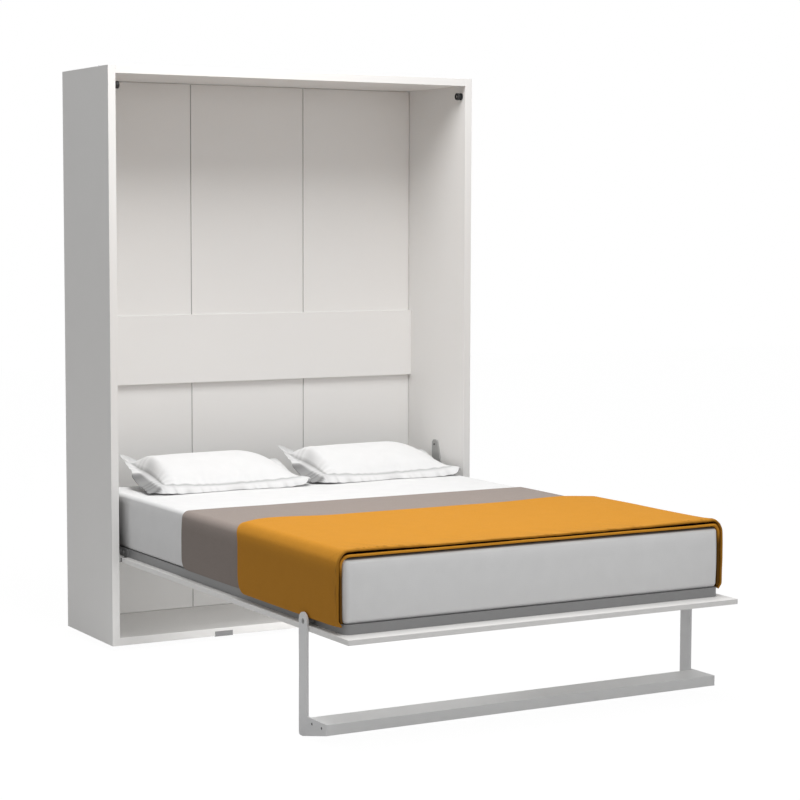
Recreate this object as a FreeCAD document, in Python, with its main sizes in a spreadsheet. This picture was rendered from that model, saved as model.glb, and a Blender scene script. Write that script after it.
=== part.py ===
import FreeCAD, Part
import Sketcher
import math
import os
import re

# Wall bed, shown open. Millimetres, +Z up, +Y towards the wall, X across.
# The origin is on the floor, under the centre of the open bed with its cabinet.

# Driving sizes

SIZES = {
    # Cabinet boards
    "cabinet_depth": 471.2,
    "carcass_board": 30,
    "back_board": 16,
    "back_seam_round": 6,
    "board_round": 1,
    "rail_board": 18,
    "rail_height": 275,
    "rail_level": 952,
    # Cabinet fittings
    "dowel_radius": 4,
    "dowel_length": 34,
    "dowel_inset": 55,
    "cam_radius": 7.5,
    "cam_height": 12.5,
    "cam_setback": 34,
    "fitting_inset": 92,
    "cam_bolt_radius": 3,
    "cam_bolt_grip": 12,
    "hole_clearance": 0.1,
    "rail_screw_inset": 120,
    # Stop buffers
    "buffer_radius": 14,
    "buffer_neck_radius": 10,
    "buffer_base": 5,
    "buffer_neck": 5,
    "buffer_head": 14,
    "buffer_round": 1.5,
    "buffer_drop": 71,
    "buffer_gap": 1,
    "buffer_recess_radius": 6.5,
    "buffer_recess": 4,
    # Glides and their brackets
    "glide_height": 22,
    "glide_foot_radius": 18,
    "glide_foot": 8,
    "glide_stud_radius": 4,
    "glide_stud_grip": 18,
    "glide_front_inset": 125,
    "glide_back_inset": 60,
    "glide_side_inset": 108,
    "bracket_offset": 326,
    "bracket_width": 74,
    "bracket_lip": 18,
    "bracket_plate": 2,
    "bracket_tail": 25,
    # Wall brackets
    "wall_bracket_inset": 188.2,
    "wall_bracket_width": 80,
    "wall_bracket_leg": 30,
    "wall_bracket_plate": 2.5,
    "wall_hole_radius": 3,
    "wall_hole_spacing": 50,
    # Screws
    "screw_radius": 2.5,
    "screw_head_radius": 4.5,
    "screw_head": 2,
    "screw_grip": 14,
    # Bed panel
    "panel_side": 28,
    "panel_board": 17.5,
    "panel_under": 318,
    "panel_top_gap": 2.6,
    "panel_overhang": 298,
    # Bed pivot
    "pivot_inset": 8.95,
    "pivot_radius": 4,
    "pivot_head_radius": 6,
    "pivot_head": 2.5,
    "pivot_side_gap": 0.5,
    "pivot_boss_radius": 8.5,
    "bush_radius": 8,
    "running_clearance": 0.05,
    "notch_rear": 32,
    "notch_margin": 0.4,
    "notch_depth": 8,
    # Cabinet hinge plate
    "hinge_plate": 6,
    "hinge_plate_rear": 247,
    "hinge_plate_top": 692,
    "hinge_plate_low": 290,
    "hinge_top_round": 19.5,
    "hinge_corner_round": 8,
    "hinge_screw_rear_inset": 20,
    # Bed hinge plate
    "bed_plate": 5,
    "bed_plate_back": 140,
    "bed_plate_margin": 1,
    "bed_plate_shoulder": 26,
    "bolt_radius": 4,
    "bolt_head_radius": 6.5,
    "bolt_head": 3,
    "bolt_grip": 10,
    # Gas strut
    "strut_top_inset": 150,
    "strut_top_level": 540,
    "strut_foot_offset": 100,
    "strut_foot_rise": 30,
    "strut_inset": 19.2,
    "strut_pin_radius": 4,
    "strut_clip_radius": 6,
    "strut_clip": 1.5,
    "strut_eye_radius": 9,
    "strut_eye_width": 13,
    "strut_tube_radius": 9,
    "strut_tube_bore": 7,
    "strut_tube_start": 8,
    "strut_tube_length": 168,
    "strut_tube_cap": 6,
    "strut_guide": 8,
    "strut_rod_radius": 4,
    "strut_piston_radius": 6.9,
    "strut_piston": 5,
    "strut_piston_start": 16,
    # Bed frame
    "frame_side_gap": 5.5,
    "hinge_room": 37.7,
    "frame_height": 31,
    "frame_tube_width": 30,
    "frame_tube_wall": 2,
    "frame_corner": 20,
    "foot_ledge": 71.5,
    "cross_bar_width": 40,
    "cross_bar": 6,
    "cross_bar_inset": 300,
    "slat_width": 62,
    "slat_board": 8,
    "slat_drop": 3,
    "slat_first": 130,
    "slat_last": 75,
    "holder_depth": 20,
    "holder_grip": 17,
    "holder_wall": 2,
    "holder_fit": 0.2,
    # Leg
    "leg_gap": 1,
    "leg_plate": 6,
    "leg_bar_half": 29,
    "leg_pivot_setback": 220,
    "leg_pivot_rise": 12.5,
    "leg_pin_radius": 5,
    "leg_shoulder_radius": 8,
    "leg_flange_radius": 10,
    "leg_flange": 2.5,
    "leg_pin_grip": 10,
    "leg_cap_radius": 8.5,
    "leg_cap": 1.5,
    "leg_recess_radius": 9.5,
    "leg_recess": 3.8,
    "leg_socket_radius": 3,
    "leg_socket": 3,
    "leg_side_gap": 0.4,
    "heel_flat": 28,
    "heel_round": 10,
    "shelf_reach": 162,
    "shelf_depth": 118,
    "shelf_board": 35,
    "shelf_under": 34,
    "shelf_screw_edge": 35,
    # Mattress and bedding
    "mattress_width": 1430,
    "mattress_length": 2000,
    "mattress_height": 205.5,
    "mattress_corner": 40,
    "mattress_round": 15,
    "mattress_setback": 2.5,
    "mattress_head_reach": 262.5,
    "soft_gap": 0.5,
    "taupe_cloth": 5,
    "taupe_length": 490,
    "taupe_lap": 110,
    "orange_side_gap": 8,
    "orange_side": 13,
    "orange_top_gap": 6,
    "orange_top": 10,
    "orange_length": 832.5,
    "orange_setback": 5,
    "orange_round": 30,
    "pillow_depth": 395,
    "pillow_height": 122,
    "pillow_edge": 7,
    "pillow_lift": 22,
    "pillow_side_inset": 62.5,
    "pillow_middle_gap": 45,
    "pillow_overhang": 27.5,
}

SLAT_COUNT = 14
BED_BOLT_SHARES = (0.2, 0.4, 0.88)

# Places worked out from the sizes, for the expressions of several pieces

PLACES = {
    "frame_width": "mattress_width + 2 * frame_side_gap",
    "frame_half": "frame_width / 2",
    "frame_inside": "frame_half - frame_tube_width",
    "inside_half": "frame_half + hinge_room",
    "cabinet_width": "2 * (inside_half + carcass_board)",
    "panel_half": "frame_half + panel_side",
    "bed_reach": "mattress_length + mattress_setback + foot_ledge - mattress_head_reach",
    "cabinet_height": "bed_reach + carcass_board + panel_top_gap + panel_under + 2 * pivot_inset",
    "front": "(bed_reach - cabinet_depth) / 2",
    "back": "front + cabinet_depth",
    "under_top": "glide_height + cabinet_height - carcass_board",
    "over_bottom": "glide_height + carcass_board",
    "pivot_y": "front + pivot_inset",
    "pivot_z": "glide_height + panel_under + pivot_inset",
    "panel_top": "glide_height + panel_under + panel_board",
    "foot_edge": "front - bed_reach",
    "frame_top": "panel_top + frame_height",
    "frame_foot": "foot_edge + foot_ledge",
    "mattress_foot": "frame_foot + mattress_setback",
    "mattress_head": "mattress_foot + mattress_length",
    "mattress_top": "frame_top + mattress_height",
    "frame_head": "mattress_head + mattress_setback",
    "hinge_face": "inside_half - hinge_plate",
    "bed_plate_face": "frame_half + bed_plate",
    "strut_lane": "inside_half - strut_inset",
    "strut_top_y": "front + strut_top_inset",
    "strut_top_z": "glide_height + strut_top_level",
    "strut_foot_y": "pivot_y + strut_foot_offset",
    "strut_foot_z": "pivot_z + strut_foot_rise",
    "leg_inner": "panel_half + leg_gap",
    "leg_outer": "leg_inner + leg_plate",
    "leg_y": "frame_foot + leg_pivot_setback",
    "leg_z": "panel_top + leg_pivot_rise",
    "shelf_end": "leg_y - shelf_reach",
    "shelf_top": "shelf_under + shelf_board",
    "orange_foot": "mattress_foot + orange_setback",
    "taupe_foot": "orange_foot + orange_length - taupe_lap",
    "pillow_length": "(mattress_width - pillow_middle_gap) / 2 - pillow_side_inset",
}

document = FreeCAD.newDocument("wall_bed")


def make_sheet(name, cells):
    """A sheet with one named cell a row."""
    sheet = document.addObject("Spreadsheet::Sheet", name)
    for row, (alias, content) in enumerate(cells.items(), start=1):
        sheet.set(f"A{row}", alias)
        sheet.set(f"B{row}", content)
        sheet.setAlias(f"B{row}", alias)
    return sheet


def full(text):
    """An expression with each size and place written with its sheet's name."""
    def qualify(match):
        word = match.group()
        if word in SIZES:
            return f"Sizes.{word}"
        if word in PLACES:
            return f"Places.{word}"
        return word
    return re.sub(r"[a-z_]+", qualify, str(text))


sizes_sheet = make_sheet("Sizes", {name: str(size) for name, size in SIZES.items()})
document.recompute()
places_sheet = make_sheet("Places", {name: "=" + re.sub(
    r"[a-z_]+", lambda match: f"Sizes.{match.group()}" if match.group() in SIZES else match.group(),
    text) for name, text in PLACES.items()})
document.recompute()


def number(text):
    """The value of an expression, in millimetres."""
    result = sizes_sheet.evalExpression(full(text))
    return float(getattr(result, "Value", result))


def bind(item, **properties):
    """Bind an object's properties to expressions."""
    for name, text in properties.items():
        item.setExpression(name, full(text))
    return item


def place(item, x, y, z, rotation=None):
    """Place an object by three expressions and, where it is turned, a rotation."""
    if rotation is not None:
        item.Placement = FreeCAD.Placement(FreeCAD.Vector(), rotation)
    item.setExpression("Placement.Base.x", full(x))
    item.setExpression("Placement.Base.y", full(y))
    item.setExpression("Placement.Base.z", full(z))
    return item


ACROSS = FreeCAD.Rotation(FreeCAD.Vector(0, 1, 0), 90)
BACKWARD = FreeCAD.Rotation(FreeCAD.Vector(1, 0, 0), -90)

nodes = {}


def node(name, item):
    """Name an object as one of the finished pieces."""
    item.Label = name
    nodes[name] = item
    return item


def box(x, y, z, length, width, height):
    """A box from its lowest corner and its three sides."""
    item = document.addObject("Part::Box", "Box")
    bind(item, Length=length, Width=width, Height=height)
    return place(item, x, y, z)


def rod(x, y, z, radius, length, rotation=None):
    """A cylinder that starts at a point; it runs up, or as the rotation says."""
    item = document.addObject("Part::Cylinder", "Rod")
    bind(item, Radius=radius, Height=length)
    return place(item, x, y, z, rotation)


def rod_across(side, start, end, y, z, radius):
    """A cylinder across the bed, from one distance off the middle to another, on one side."""
    low = start if side > 0 else f"-({end})"
    return rod(low, y, z, radius, f"({end}) - ({start})", ACROSS)


def fuse(items):
    """Several overlapping solids as one."""
    item = document.addObject("Part::MultiFuse", "Fuse")
    item.Shapes = items
    return item


def group(items):
    """Separate solids in one object."""
    item = document.addObject("Part::Compound", "Group")
    item.Links = items
    return item


def cut(base, tools):
    """A solid less one or more others."""
    item = document.addObject("Part::Cut", "Cut")
    item.Base = base
    item.Tool = tools[0] if len(tools) == 1 else group(tools)
    return item


def rounded(item, radius):
    """An object with all its edges rounded by a named radius."""
    document.recompute()
    fillet = document.addObject("Part::Fillet", "Round")
    fillet.Base = item
    size = number(radius)
    fillet.Edges = [(index + 1, size, size) for index in range(len(item.Shape.Edges))]
    return fillet


def board(x, y, z, length, width, height, radius="board_round"):
    """A board with its edges slightly rounded."""
    return rounded(box(x, y, z, length, width, height), radius)


def new_body(name):
    """An empty body for sketched pieces."""
    return document.addObject("PartDesign::Body", name)


def outline(body, role, corners):
    """A closed sketch of straight lines; every corner is bound to two expressions."""
    plane = next(feature for feature in body.Origin.OriginFeatures if feature.Role == role)
    sketch = body.newObject("Sketcher::SketchObject", "Outline")
    sketch.AttachmentSupport = [(plane, "")]
    sketch.MapMode = "FlatFace"
    points = [FreeCAD.Vector(number(across), number(up), 0) for across, up in corners]
    count = len(points)
    for index in range(count):
        sketch.addGeometry(Part.LineSegment(points[index], points[(index + 1) % count]), False)
    for index in range(count):
        sketch.addConstraint(Sketcher.Constraint("Coincident", index, 2, (index + 1) % count, 1))
    for index, (across, up) in enumerate(corners):
        for kind, text, size in (("DistanceX", across, points[index].x), ("DistanceY", up, points[index].y)):
            place_constraint = sketch.addConstraint(Sketcher.Constraint(kind, -1, 1, index, 1, size))
            sketch.setExpression(f"Constraints[{place_constraint}]", full(text))
    return sketch


def pad(body, sketch, length):
    """A sketch as a plate of a bound thickness, along its plane's normal."""
    feature = body.newObject("PartDesign::Pad", "Pad")
    feature.Profile = sketch
    bind(feature, Length=length)
    document.recompute()
    return feature


def round_edges(body, wanted, radius):
    """Round the edges of a body that pass a test on their two end points."""
    tip = body.Tip
    names = []
    for index, edge in enumerate(tip.Shape.Edges, start=1):
        first = edge.Vertexes[0].Point
        last = edge.Vertexes[-1].Point
        if wanted(first, last):
            names.append(f"Edge{index}")
    feature = body.newObject("PartDesign::Fillet", "Round")
    feature.Base = (tip, names)
    bind(feature, Radius=radius)
    document.recompute()
    return feature


SLACK = number("running_clearance")


def over_spots(plane_axes, spots):
    """A test for edges that stand square on one of the given corners of an outline."""
    across, up = plane_axes
    wanted = [(number(first), number(second)) for first, second in spots]

    def is_near(point, spot):
        return math.hypot(getattr(point, across) - spot[0], getattr(point, up) - spot[1]) < SLACK

    return lambda first, last: any(is_near(first, spot) and is_near(last, spot) for spot in wanted)


def side_plate(name, x, thickness, corners):
    """A plate that stands along the bed, from its corners in Y and Z and the radius of each."""
    body = new_body(name)
    pad(body, outline(body, "YZ_Plane", [(y, z) for y, z, _ in corners]), thickness)
    for radius in sorted({radius for _, _, radius in corners if radius}):
        spots = [(y, z) for y, z, own_radius in corners if own_radius == radius]
        round_edges(body, over_spots("yz", spots), radius)
    body.setExpression("Placement.Base.x", full(x))
    return body


def starts(side, near, thickness):
    """The lowest X of a plate that lies on one side, from its distance off the middle."""
    return near if side > 0 else f"-({near}) - ({thickness})"


SIDES = (("left", -1), ("right", 1))
OVERRUN = "carcass_board"

# Holes that the cabinet's boards share with their fittings

side_holes = {-1: [], 1: []}
top_holes = []
bottom_holes = []
rail_holes = []
back_holes = []


def dowel(side, y, z, board_holes):
    """A wooden dowel between a side panel and a board's end."""
    reach = "dowel_length / 2"
    pin = rod_across(side, f"inside_half - {reach}", f"inside_half + {reach}", y, z, "dowel_radius")
    hole = rod_across(side, f"inside_half - {reach} - hole_clearance",
                      f"inside_half + {reach} + hole_clearance", y, z, "dowel_radius + hole_clearance")
    side_holes[side].append(hole)
    board_holes.append(hole)
    return pin


def carcass_dowels():
    """The dowels of the top panel, the bottom panel and the cross rail."""
    dowels = []
    rail_y = "back - back_board - rail_board / 2"
    for _, side in SIDES:
        for y in ("front + dowel_inset", "front + cabinet_depth / 2", "back - dowel_inset"):
            dowels.append(dowel(side, y, "under_top + carcass_board / 2", top_holes))
            dowels.append(dowel(side, y, "glide_height + carcass_board / 2", bottom_holes))
        for z in ("glide_height + rail_level + dowel_inset",
                  "glide_height + rail_level + rail_height - dowel_inset"):
            dowels.append(dowel(side, rail_y, z, rail_holes))
    node("carcass_dowels", group(dowels))


def cam_fittings():
    """Cam discs in the hidden faces of the top and bottom panels, each with its bolt."""
    fittings = []
    joints = (
        ("under_top + carcass_board / 2", "under_top + carcass_board - cam_height", top_holes),
        ("glide_height + carcass_board / 2", "glide_height", bottom_holes),
    )
    for _, side in SIDES:
        for y in ("front + fitting_inset", "back - fitting_inset"):
            for middle, low, board_holes in joints:
                x = f"{side} * (inside_half - cam_setback)"
                fittings.append(rod(x, y, low, "cam_radius", "cam_height"))
                board_holes.append(rod(x, y, f"{low} - cam_bolt_radius", "cam_radius + hole_clearance",
                                       "cam_height + 2 * cam_bolt_radius"))
                bolt_start = "inside_half - cam_setback + cam_radius"
                bolt_end = "inside_half + cam_bolt_grip"
                fittings.append(rod_across(side, bolt_start, bolt_end, y, middle, "cam_bolt_radius"))
                hole = rod_across(side, bolt_start, f"{bolt_end} + hole_clearance", y, middle,
                                  "cam_bolt_radius + hole_clearance")
                board_holes.append(hole)
                side_holes[side].append(hole)
    node("cam_fittings", group(fittings))


def screw_into_side(side, seat, y, z):
    """A screw whose head lies outside a fitting's face and whose shank ends in the side panel."""
    head = rod_across(side, f"{seat} - screw_head", seat, y, z, "screw_head_radius")
    shank = rod_across(side, seat, "inside_half + screw_grip", y, z, "screw_radius")
    side_holes[side].append(rod_across(side, seat, "inside_half + screw_grip + hole_clearance", y, z,
                                       "screw_radius + hole_clearance"))
    return fuse([head, shank])


def stop_buffers():
    """The rubber spools that the closed bed stops against, each on a screw."""
    y = "front + panel_board + buffer_gap + buffer_radius"
    z = "glide_height + cabinet_height - buffer_drop"
    screws = []
    for word, side in SIDES:
        base = rod_across(side, "inside_half - buffer_base", "inside_half", y, z, "buffer_radius")
        neck_end = "inside_half - buffer_base - buffer_neck"
        neck = rod_across(side, neck_end, "inside_half - buffer_base", y, z, "buffer_neck_radius")
        head = rod_across(side, f"{neck_end} - buffer_head", neck_end, y, z, "buffer_radius")
        spool = fuse([rounded(base, "buffer_round"), neck, rounded(head, "buffer_round")])
        seat = f"({neck_end} - buffer_head + buffer_recess)"
        recess = rod_across(side, f"{seat} - buffer_recess - {OVERRUN}", seat, y, z, "buffer_recess_radius")
        bore = rod_across(side, f"{seat} - buffer_recess", f"inside_half + {OVERRUN}", y, z,
                          "screw_radius + hole_clearance")
        node(f"{word}_stop_buffer", cut(spool, [recess, bore]))
        screws.append(screw_into_side(side, seat, y, z))
    node("buffer_screws", group(screws))


def cabinet_hinges():
    """The plates on the side panels with the bed's pivot pins and the struts' upper pins."""
    bend, corner = "hinge_top_round", "hinge_corner_round"
    corners = [
        ("pivot_y - pivot_boss_radius", "pivot_z - pivot_boss_radius", corner),
        ("front + hinge_plate_rear", "glide_height + hinge_plate_low", bend),
        ("front + hinge_plate_rear", "glide_height + hinge_plate_top", bend),
        ("front + hinge_plate_rear - 2 * hinge_top_round - board_round",
         "glide_height + hinge_plate_top", bend),
        ("strut_top_y + 1.5 * hinge_top_round", "strut_top_z + 3.5 * hinge_top_round", bend),
        ("strut_top_y - 0.8 * hinge_top_round", "strut_top_z + hinge_top_round", corner),
        ("strut_top_y - 1.1 * hinge_top_round", "strut_top_z - 1.5 * hinge_top_round", corner),
        ("pivot_y - pivot_boss_radius", "pivot_z + pivot_boss_radius", corner),
    ]
    rear_y = "front + hinge_plate_rear - hinge_screw_rear_inset"
    screw_spots = (
        (rear_y, "glide_height + hinge_plate_top - hinge_screw_rear_inset"),
        (rear_y, "glide_height + hinge_plate_low + 2 * hinge_screw_rear_inset"),
        ("pivot_y + notch_rear + hinge_screw_rear_inset", "pivot_z + hinge_screw_rear_inset"),
    )
    screws = []
    bushes = []
    for word, side in SIDES:
        plate = side_plate(f"{word}_hinge_body", starts(side, "hinge_face", "hinge_plate"),
                           "hinge_plate", corners)
        holes = []
        for y, z in screw_spots:
            screws.append(screw_into_side(side, "hinge_face", y, z))
            holes.append(side_holes[side][-1])
        for y, z, radius in (("pivot_y", "pivot_z", "pivot_radius"),
                             ("strut_top_y", "strut_top_z", "strut_pin_radius")):
            holes.append(rod_across(side, f"hinge_face - {OVERRUN}", f"inside_half + {OVERRUN}", y, z,
                                    f"{radius} + running_clearance"))
        node(f"{word}_cabinet_hinge_plate", cut(plate, holes))
        inner_end = "frame_half - pivot_side_gap"
        shaft = rod_across(side, inner_end, "inside_half", "pivot_y", "pivot_z", "pivot_radius")
        head = rod_across(side, f"{inner_end} - pivot_head", inner_end, "pivot_y", "pivot_z",
                          "pivot_head_radius")
        node(f"{word}_pivot_pin", fuse([shaft, head]))
        bush = rod_across(side, "bed_plate_face + pivot_side_gap", "hinge_face", "pivot_y", "pivot_z",
                          "bush_radius")
        bore = rod_across(side, f"bed_plate_face - {OVERRUN}", f"hinge_face + {OVERRUN}", "pivot_y",
                          "pivot_z", "pivot_radius + running_clearance")
        bushes.append(cut(bush, [bore]))
        clip_end = "strut_lane - strut_eye_width / 2 - pivot_side_gap"
        pin = rod_across(side, clip_end, "inside_half", "strut_top_y", "strut_top_z", "strut_pin_radius")
        clip = rod_across(side, f"{clip_end} - strut_clip", clip_end, "strut_top_y", "strut_top_z",
                          "strut_clip_radius")
        node(f"{word}_strut_top_pin", fuse([pin, clip]))
    node("hinge_plate_screws", group(screws))
    node("pivot_bushes", group(bushes))


def glides():
    """Six levelling glides, and the brackets that hold the two middle front ones."""
    spots = []
    for _, side in SIDES:
        corner_x = f"{side} * (cabinet_width / 2 - glide_side_inset)"
        spots.append((corner_x, "front + glide_front_inset"))
        spots.append((corner_x, "back - glide_back_inset"))
        spots.append((f"{side} * bracket_offset", "front + glide_front_inset"))
    feet = []
    for x, y in spots:
        foot = rod(x, y, "0", "glide_foot_radius", "glide_foot")
        stud = rod(x, y, "glide_foot", "glide_stud_radius", "glide_height - glide_foot + glide_stud_grip")
        feet.append(fuse([foot, stud]))
        bottom_holes.append(rod(x, y, "glide_height - bracket_plate", "glide_stud_radius + hole_clearance",
                                "glide_stud_grip + bracket_plate + hole_clearance"))
    node("levelling_glides", group(feet))

    screws = []
    for word, side in SIDES:
        middle = f"{side} * bracket_offset"
        low_x = f"{middle} - bracket_width / 2"
        plate = box(low_x, "front - bracket_plate", "glide_height - bracket_plate", "bracket_width",
                    "glide_front_inset + bracket_tail + bracket_plate", "bracket_plate")
        lip = box(low_x, "front - bracket_plate", "glide_height - bracket_plate", "bracket_width",
                  "bracket_plate", "bracket_lip + bracket_plate")
        holes = [rod(middle, "front + glide_front_inset", f"glide_height - {OVERRUN}",
                     "glide_stud_radius + hole_clearance", OVERRUN)]
        for offset in (-1, 1):
            x = f"{middle} + {offset} * bracket_width / 4"
            y = "front + glide_front_inset / 2"
            head = rod(x, y, "glide_height - bracket_plate - screw_head", "screw_head_radius", "screw_head")
            shank = rod(x, y, "glide_height - bracket_plate", "screw_radius", "bracket_plate + screw_grip")
            screws.append(fuse([head, shank]))
            holes.append(rod(x, y, f"glide_height - {OVERRUN}", "screw_radius + hole_clearance", OVERRUN))
            bottom_holes.append(rod(x, y, "glide_height - bracket_plate", "screw_radius + hole_clearance",
                                    "bracket_plate + screw_grip + hole_clearance"))
        node(f"{word}_glide_bracket", cut(fuse([plate, lip]), holes))
    node("glide_bracket_screws", group(screws))


def wall_brackets():
    """Angles on the cabinet's top that hold it to the wall."""
    top = "under_top + carcass_board"
    screws = []
    for word, side in SIDES:
        middle = f"{side} * (cabinet_width / 2 - wall_bracket_inset)"
        low_x = f"{middle} - wall_bracket_width / 2"
        flat = box(low_x, "back - wall_bracket_leg", top, "wall_bracket_width", "wall_bracket_leg",
                   "wall_bracket_plate")
        upright = box(low_x, "back - wall_bracket_plate", top, "wall_bracket_width",
                      "wall_bracket_plate", "wall_bracket_leg")
        holes = []
        for offset in (-1, 1):
            x = f"{middle} + {offset} * wall_hole_spacing / 2"
            holes.append(rod(x, f"back - {OVERRUN}", f"{top} + wall_bracket_leg / 2 + wall_bracket_plate",
                             "wall_hole_radius", f"2 * {OVERRUN}", BACKWARD))
            y = "back - wall_bracket_leg / 2 - wall_bracket_plate"
            seat = f"{top} + wall_bracket_plate"
            head = rod(x, y, seat, "screw_head_radius", "screw_head")
            shank = rod(x, y, f"{top} - screw_grip", "screw_radius", "screw_grip + wall_bracket_plate")
            screws.append(fuse([head, shank]))
            hole = rod(x, y, f"{top} - screw_grip - hole_clearance", "screw_radius + hole_clearance",
                       f"screw_grip + {OVERRUN}")
            holes.append(hole)
            top_holes.append(hole)
        node(f"{word}_wall_bracket", cut(fuse([flat, upright]), holes))
    node("wall_bracket_screws", group(screws))


def cross_rail_screws():
    """Screws from behind, through the back boards into the cross rail."""
    screws = []
    reach = "(back_board + rail_board / 2)"
    for z in ("rail_level + dowel_inset", "rail_level + rail_height - dowel_inset"):
        for _, side in SIDES:
            for x in (f"{side} * rail_screw_inset", f"{side} * (inside_half - rail_screw_inset)"):
                height = f"glide_height + {z}"
                head = rod(x, "back - screw_head", height, "screw_head_radius", "screw_head", BACKWARD)
                shank = rod(x, f"back - {reach}", height, "screw_radius", f"{reach} - screw_head", BACKWARD)
                screws.append(fuse([head, shank]))
                recess = rod(x, "back - screw_head", height, "screw_head_radius + hole_clearance",
                             f"screw_head + {OVERRUN}", BACKWARD)
                hole = rod(x, f"back - {reach} - hole_clearance", height, "screw_radius + hole_clearance",
                           f"{reach} + {OVERRUN}", BACKWARD)
                back_holes.extend([recess, hole])
                rail_holes.append(hole)
    node("cross_rail_screws", group(screws))


def cabinet_boards():
    """The boards of the cabinet, with the holes that its fittings need."""
    for word, side in SIDES:
        panel = board(starts(side, "inside_half", "carcass_board"), "front", "glide_height",
                      "carcass_board", "cabinet_depth", "cabinet_height")
        node(f"{word}_side_panel", cut(panel, side_holes[side]))
    inside = ("-inside_half", "2 * inside_half")
    top = board(inside[0], "front", "under_top", inside[1], "cabinet_depth", "carcass_board")
    node("top_panel", cut(top, top_holes))
    bottom = board(inside[0], "front", "glide_height", inside[1], "cabinet_depth", "carcass_board")
    node("bottom_panel", cut(bottom, bottom_holes))
    rail = board(inside[0], "back - back_board - rail_board", "glide_height + rail_level", inside[1],
                 "rail_board", "rail_height")
    node("cross_rail", cut(rail, rail_holes))
    third = "2 * inside_half / 3"
    for index, word in enumerate(("left", "middle", "right")):
        back = board(f"-inside_half + {index} * {third}", "back - back_board", "over_bottom", third,
                     "back_board", "under_top - over_bottom", "back_seam_round")
        node(f"back_board_{word}", cut(back, back_holes))


# Bed

panel_holes = []
frame_holes = {-1: [], 1: []}


def tube_along(side):
    """A straight side rail: a square tube along the bed."""
    low = starts(side, "frame_inside", "frame_tube_width")
    y = "frame_foot + frame_tube_width"
    length = "frame_head - frame_foot - frame_tube_width"
    outer = box(low, y, "panel_top", "frame_tube_width", length, "frame_height")
    inner = box(f"{low} + frame_tube_wall", f"{y} - {OVERRUN}", "panel_top + frame_tube_wall",
                "frame_tube_width - 2 * frame_tube_wall", f"{length} + 2 * {OVERRUN}",
                "frame_height - 2 * frame_tube_wall")
    return cut(outer, [inner, *frame_holes[side]])


def foot_rail(inset, low, height):
    """The foot rail's outer form, or its hollow when it is inset by the wall."""
    reach = f"(frame_corner - {inset})"
    forms = [box("-frame_half + frame_corner", f"frame_foot + {inset}", low,
                 "frame_width - 2 * frame_corner", f"frame_tube_width - 2 * ({inset})", height)]
    for side, start_angle in ((-1, 180), (1, 270)):
        turn = FreeCAD.Rotation(FreeCAD.Vector(0, 0, 1), start_angle)
        corner = rod(f"{side} * (frame_half - frame_corner)", "frame_foot + frame_corner", low, reach,
                     height, turn)
        corner.Angle = 90
        end = box(starts(side, "frame_half - frame_corner", reach), "frame_foot + frame_corner", low,
                  reach, f"frame_tube_width - frame_corner - {inset}", height)
        forms.extend([corner, end])
    return fuse(forms)


def bed_frame():
    """The steel frame: four rails and three cross bars."""
    for word, side in SIDES:
        node(f"{word}_frame_rail", tube_along(side))
    outer = foot_rail("0", "panel_top", "frame_height")
    hollow = foot_rail("frame_tube_wall", "panel_top + frame_tube_wall",
                       "frame_height - 2 * frame_tube_wall")
    node("foot_frame_rail", cut(outer, [hollow]))
    head = box("-frame_inside", "frame_head - frame_tube_width", "panel_top", "2 * frame_inside",
               "frame_tube_width", "frame_height")
    head_hollow = box(f"-frame_inside - {OVERRUN}", "frame_head - frame_tube_width + frame_tube_wall",
                      "panel_top + frame_tube_wall", f"2 * frame_inside + 2 * {OVERRUN}",
                      "frame_tube_width - 2 * frame_tube_wall", "frame_height - 2 * frame_tube_wall")
    node("head_frame_rail", cut(head, [head_hollow]))

    bars = []
    screws = []
    middle = "(frame_foot + frame_head) / 2"
    for bar_y in ("frame_foot + cross_bar_inset", middle, "frame_head - cross_bar_inset"):
        bar = box("-frame_inside", f"{bar_y} - cross_bar_width / 2", "panel_top", "2 * frame_inside",
                  "cross_bar_width", "cross_bar")
        holes = []
        for share in (-0.9, -0.3, 0.3, 0.9):
            x = f"{share} * frame_inside"
            seat = "panel_top + cross_bar"
            head = rod(x, bar_y, seat, "screw_head_radius", "screw_head")
            shank = rod(x, bar_y, f"{seat} - screw_grip - hole_clearance", "screw_radius",
                        "screw_grip + hole_clearance")
            screws.append(fuse([head, shank]))
            hole = rod(x, bar_y, f"{seat} - screw_grip - 2 * hole_clearance",
                       "screw_radius + hole_clearance", f"screw_grip + {OVERRUN}")
            holes.append(hole)
            panel_holes.append(hole)
        bars.append(cut(bar, holes))
    node("cross_bars", group(bars))
    node("panel_screws", group(screws))


def bed_panel():
    """The closed bed's front, which lies under the open bed."""
    panel = board("-panel_half", "foot_edge", "glide_height + panel_under", "2 * panel_half",
                  "bed_reach + panel_overhang", "panel_board")
    notches = []
    notch_front = "(pivot_boss_radius + notch_margin)"
    for _, side in SIDES:
        low = starts(side, "frame_half - notch_depth", f"notch_depth + {OVERRUN}")
        notches.append(box(low, f"pivot_y - {notch_front}", "glide_height", f"notch_depth + {OVERRUN}",
                           f"{notch_front} + notch_rear", "panel_top"))
    node("bed_panel", cut(panel, notches + panel_holes))


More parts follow.
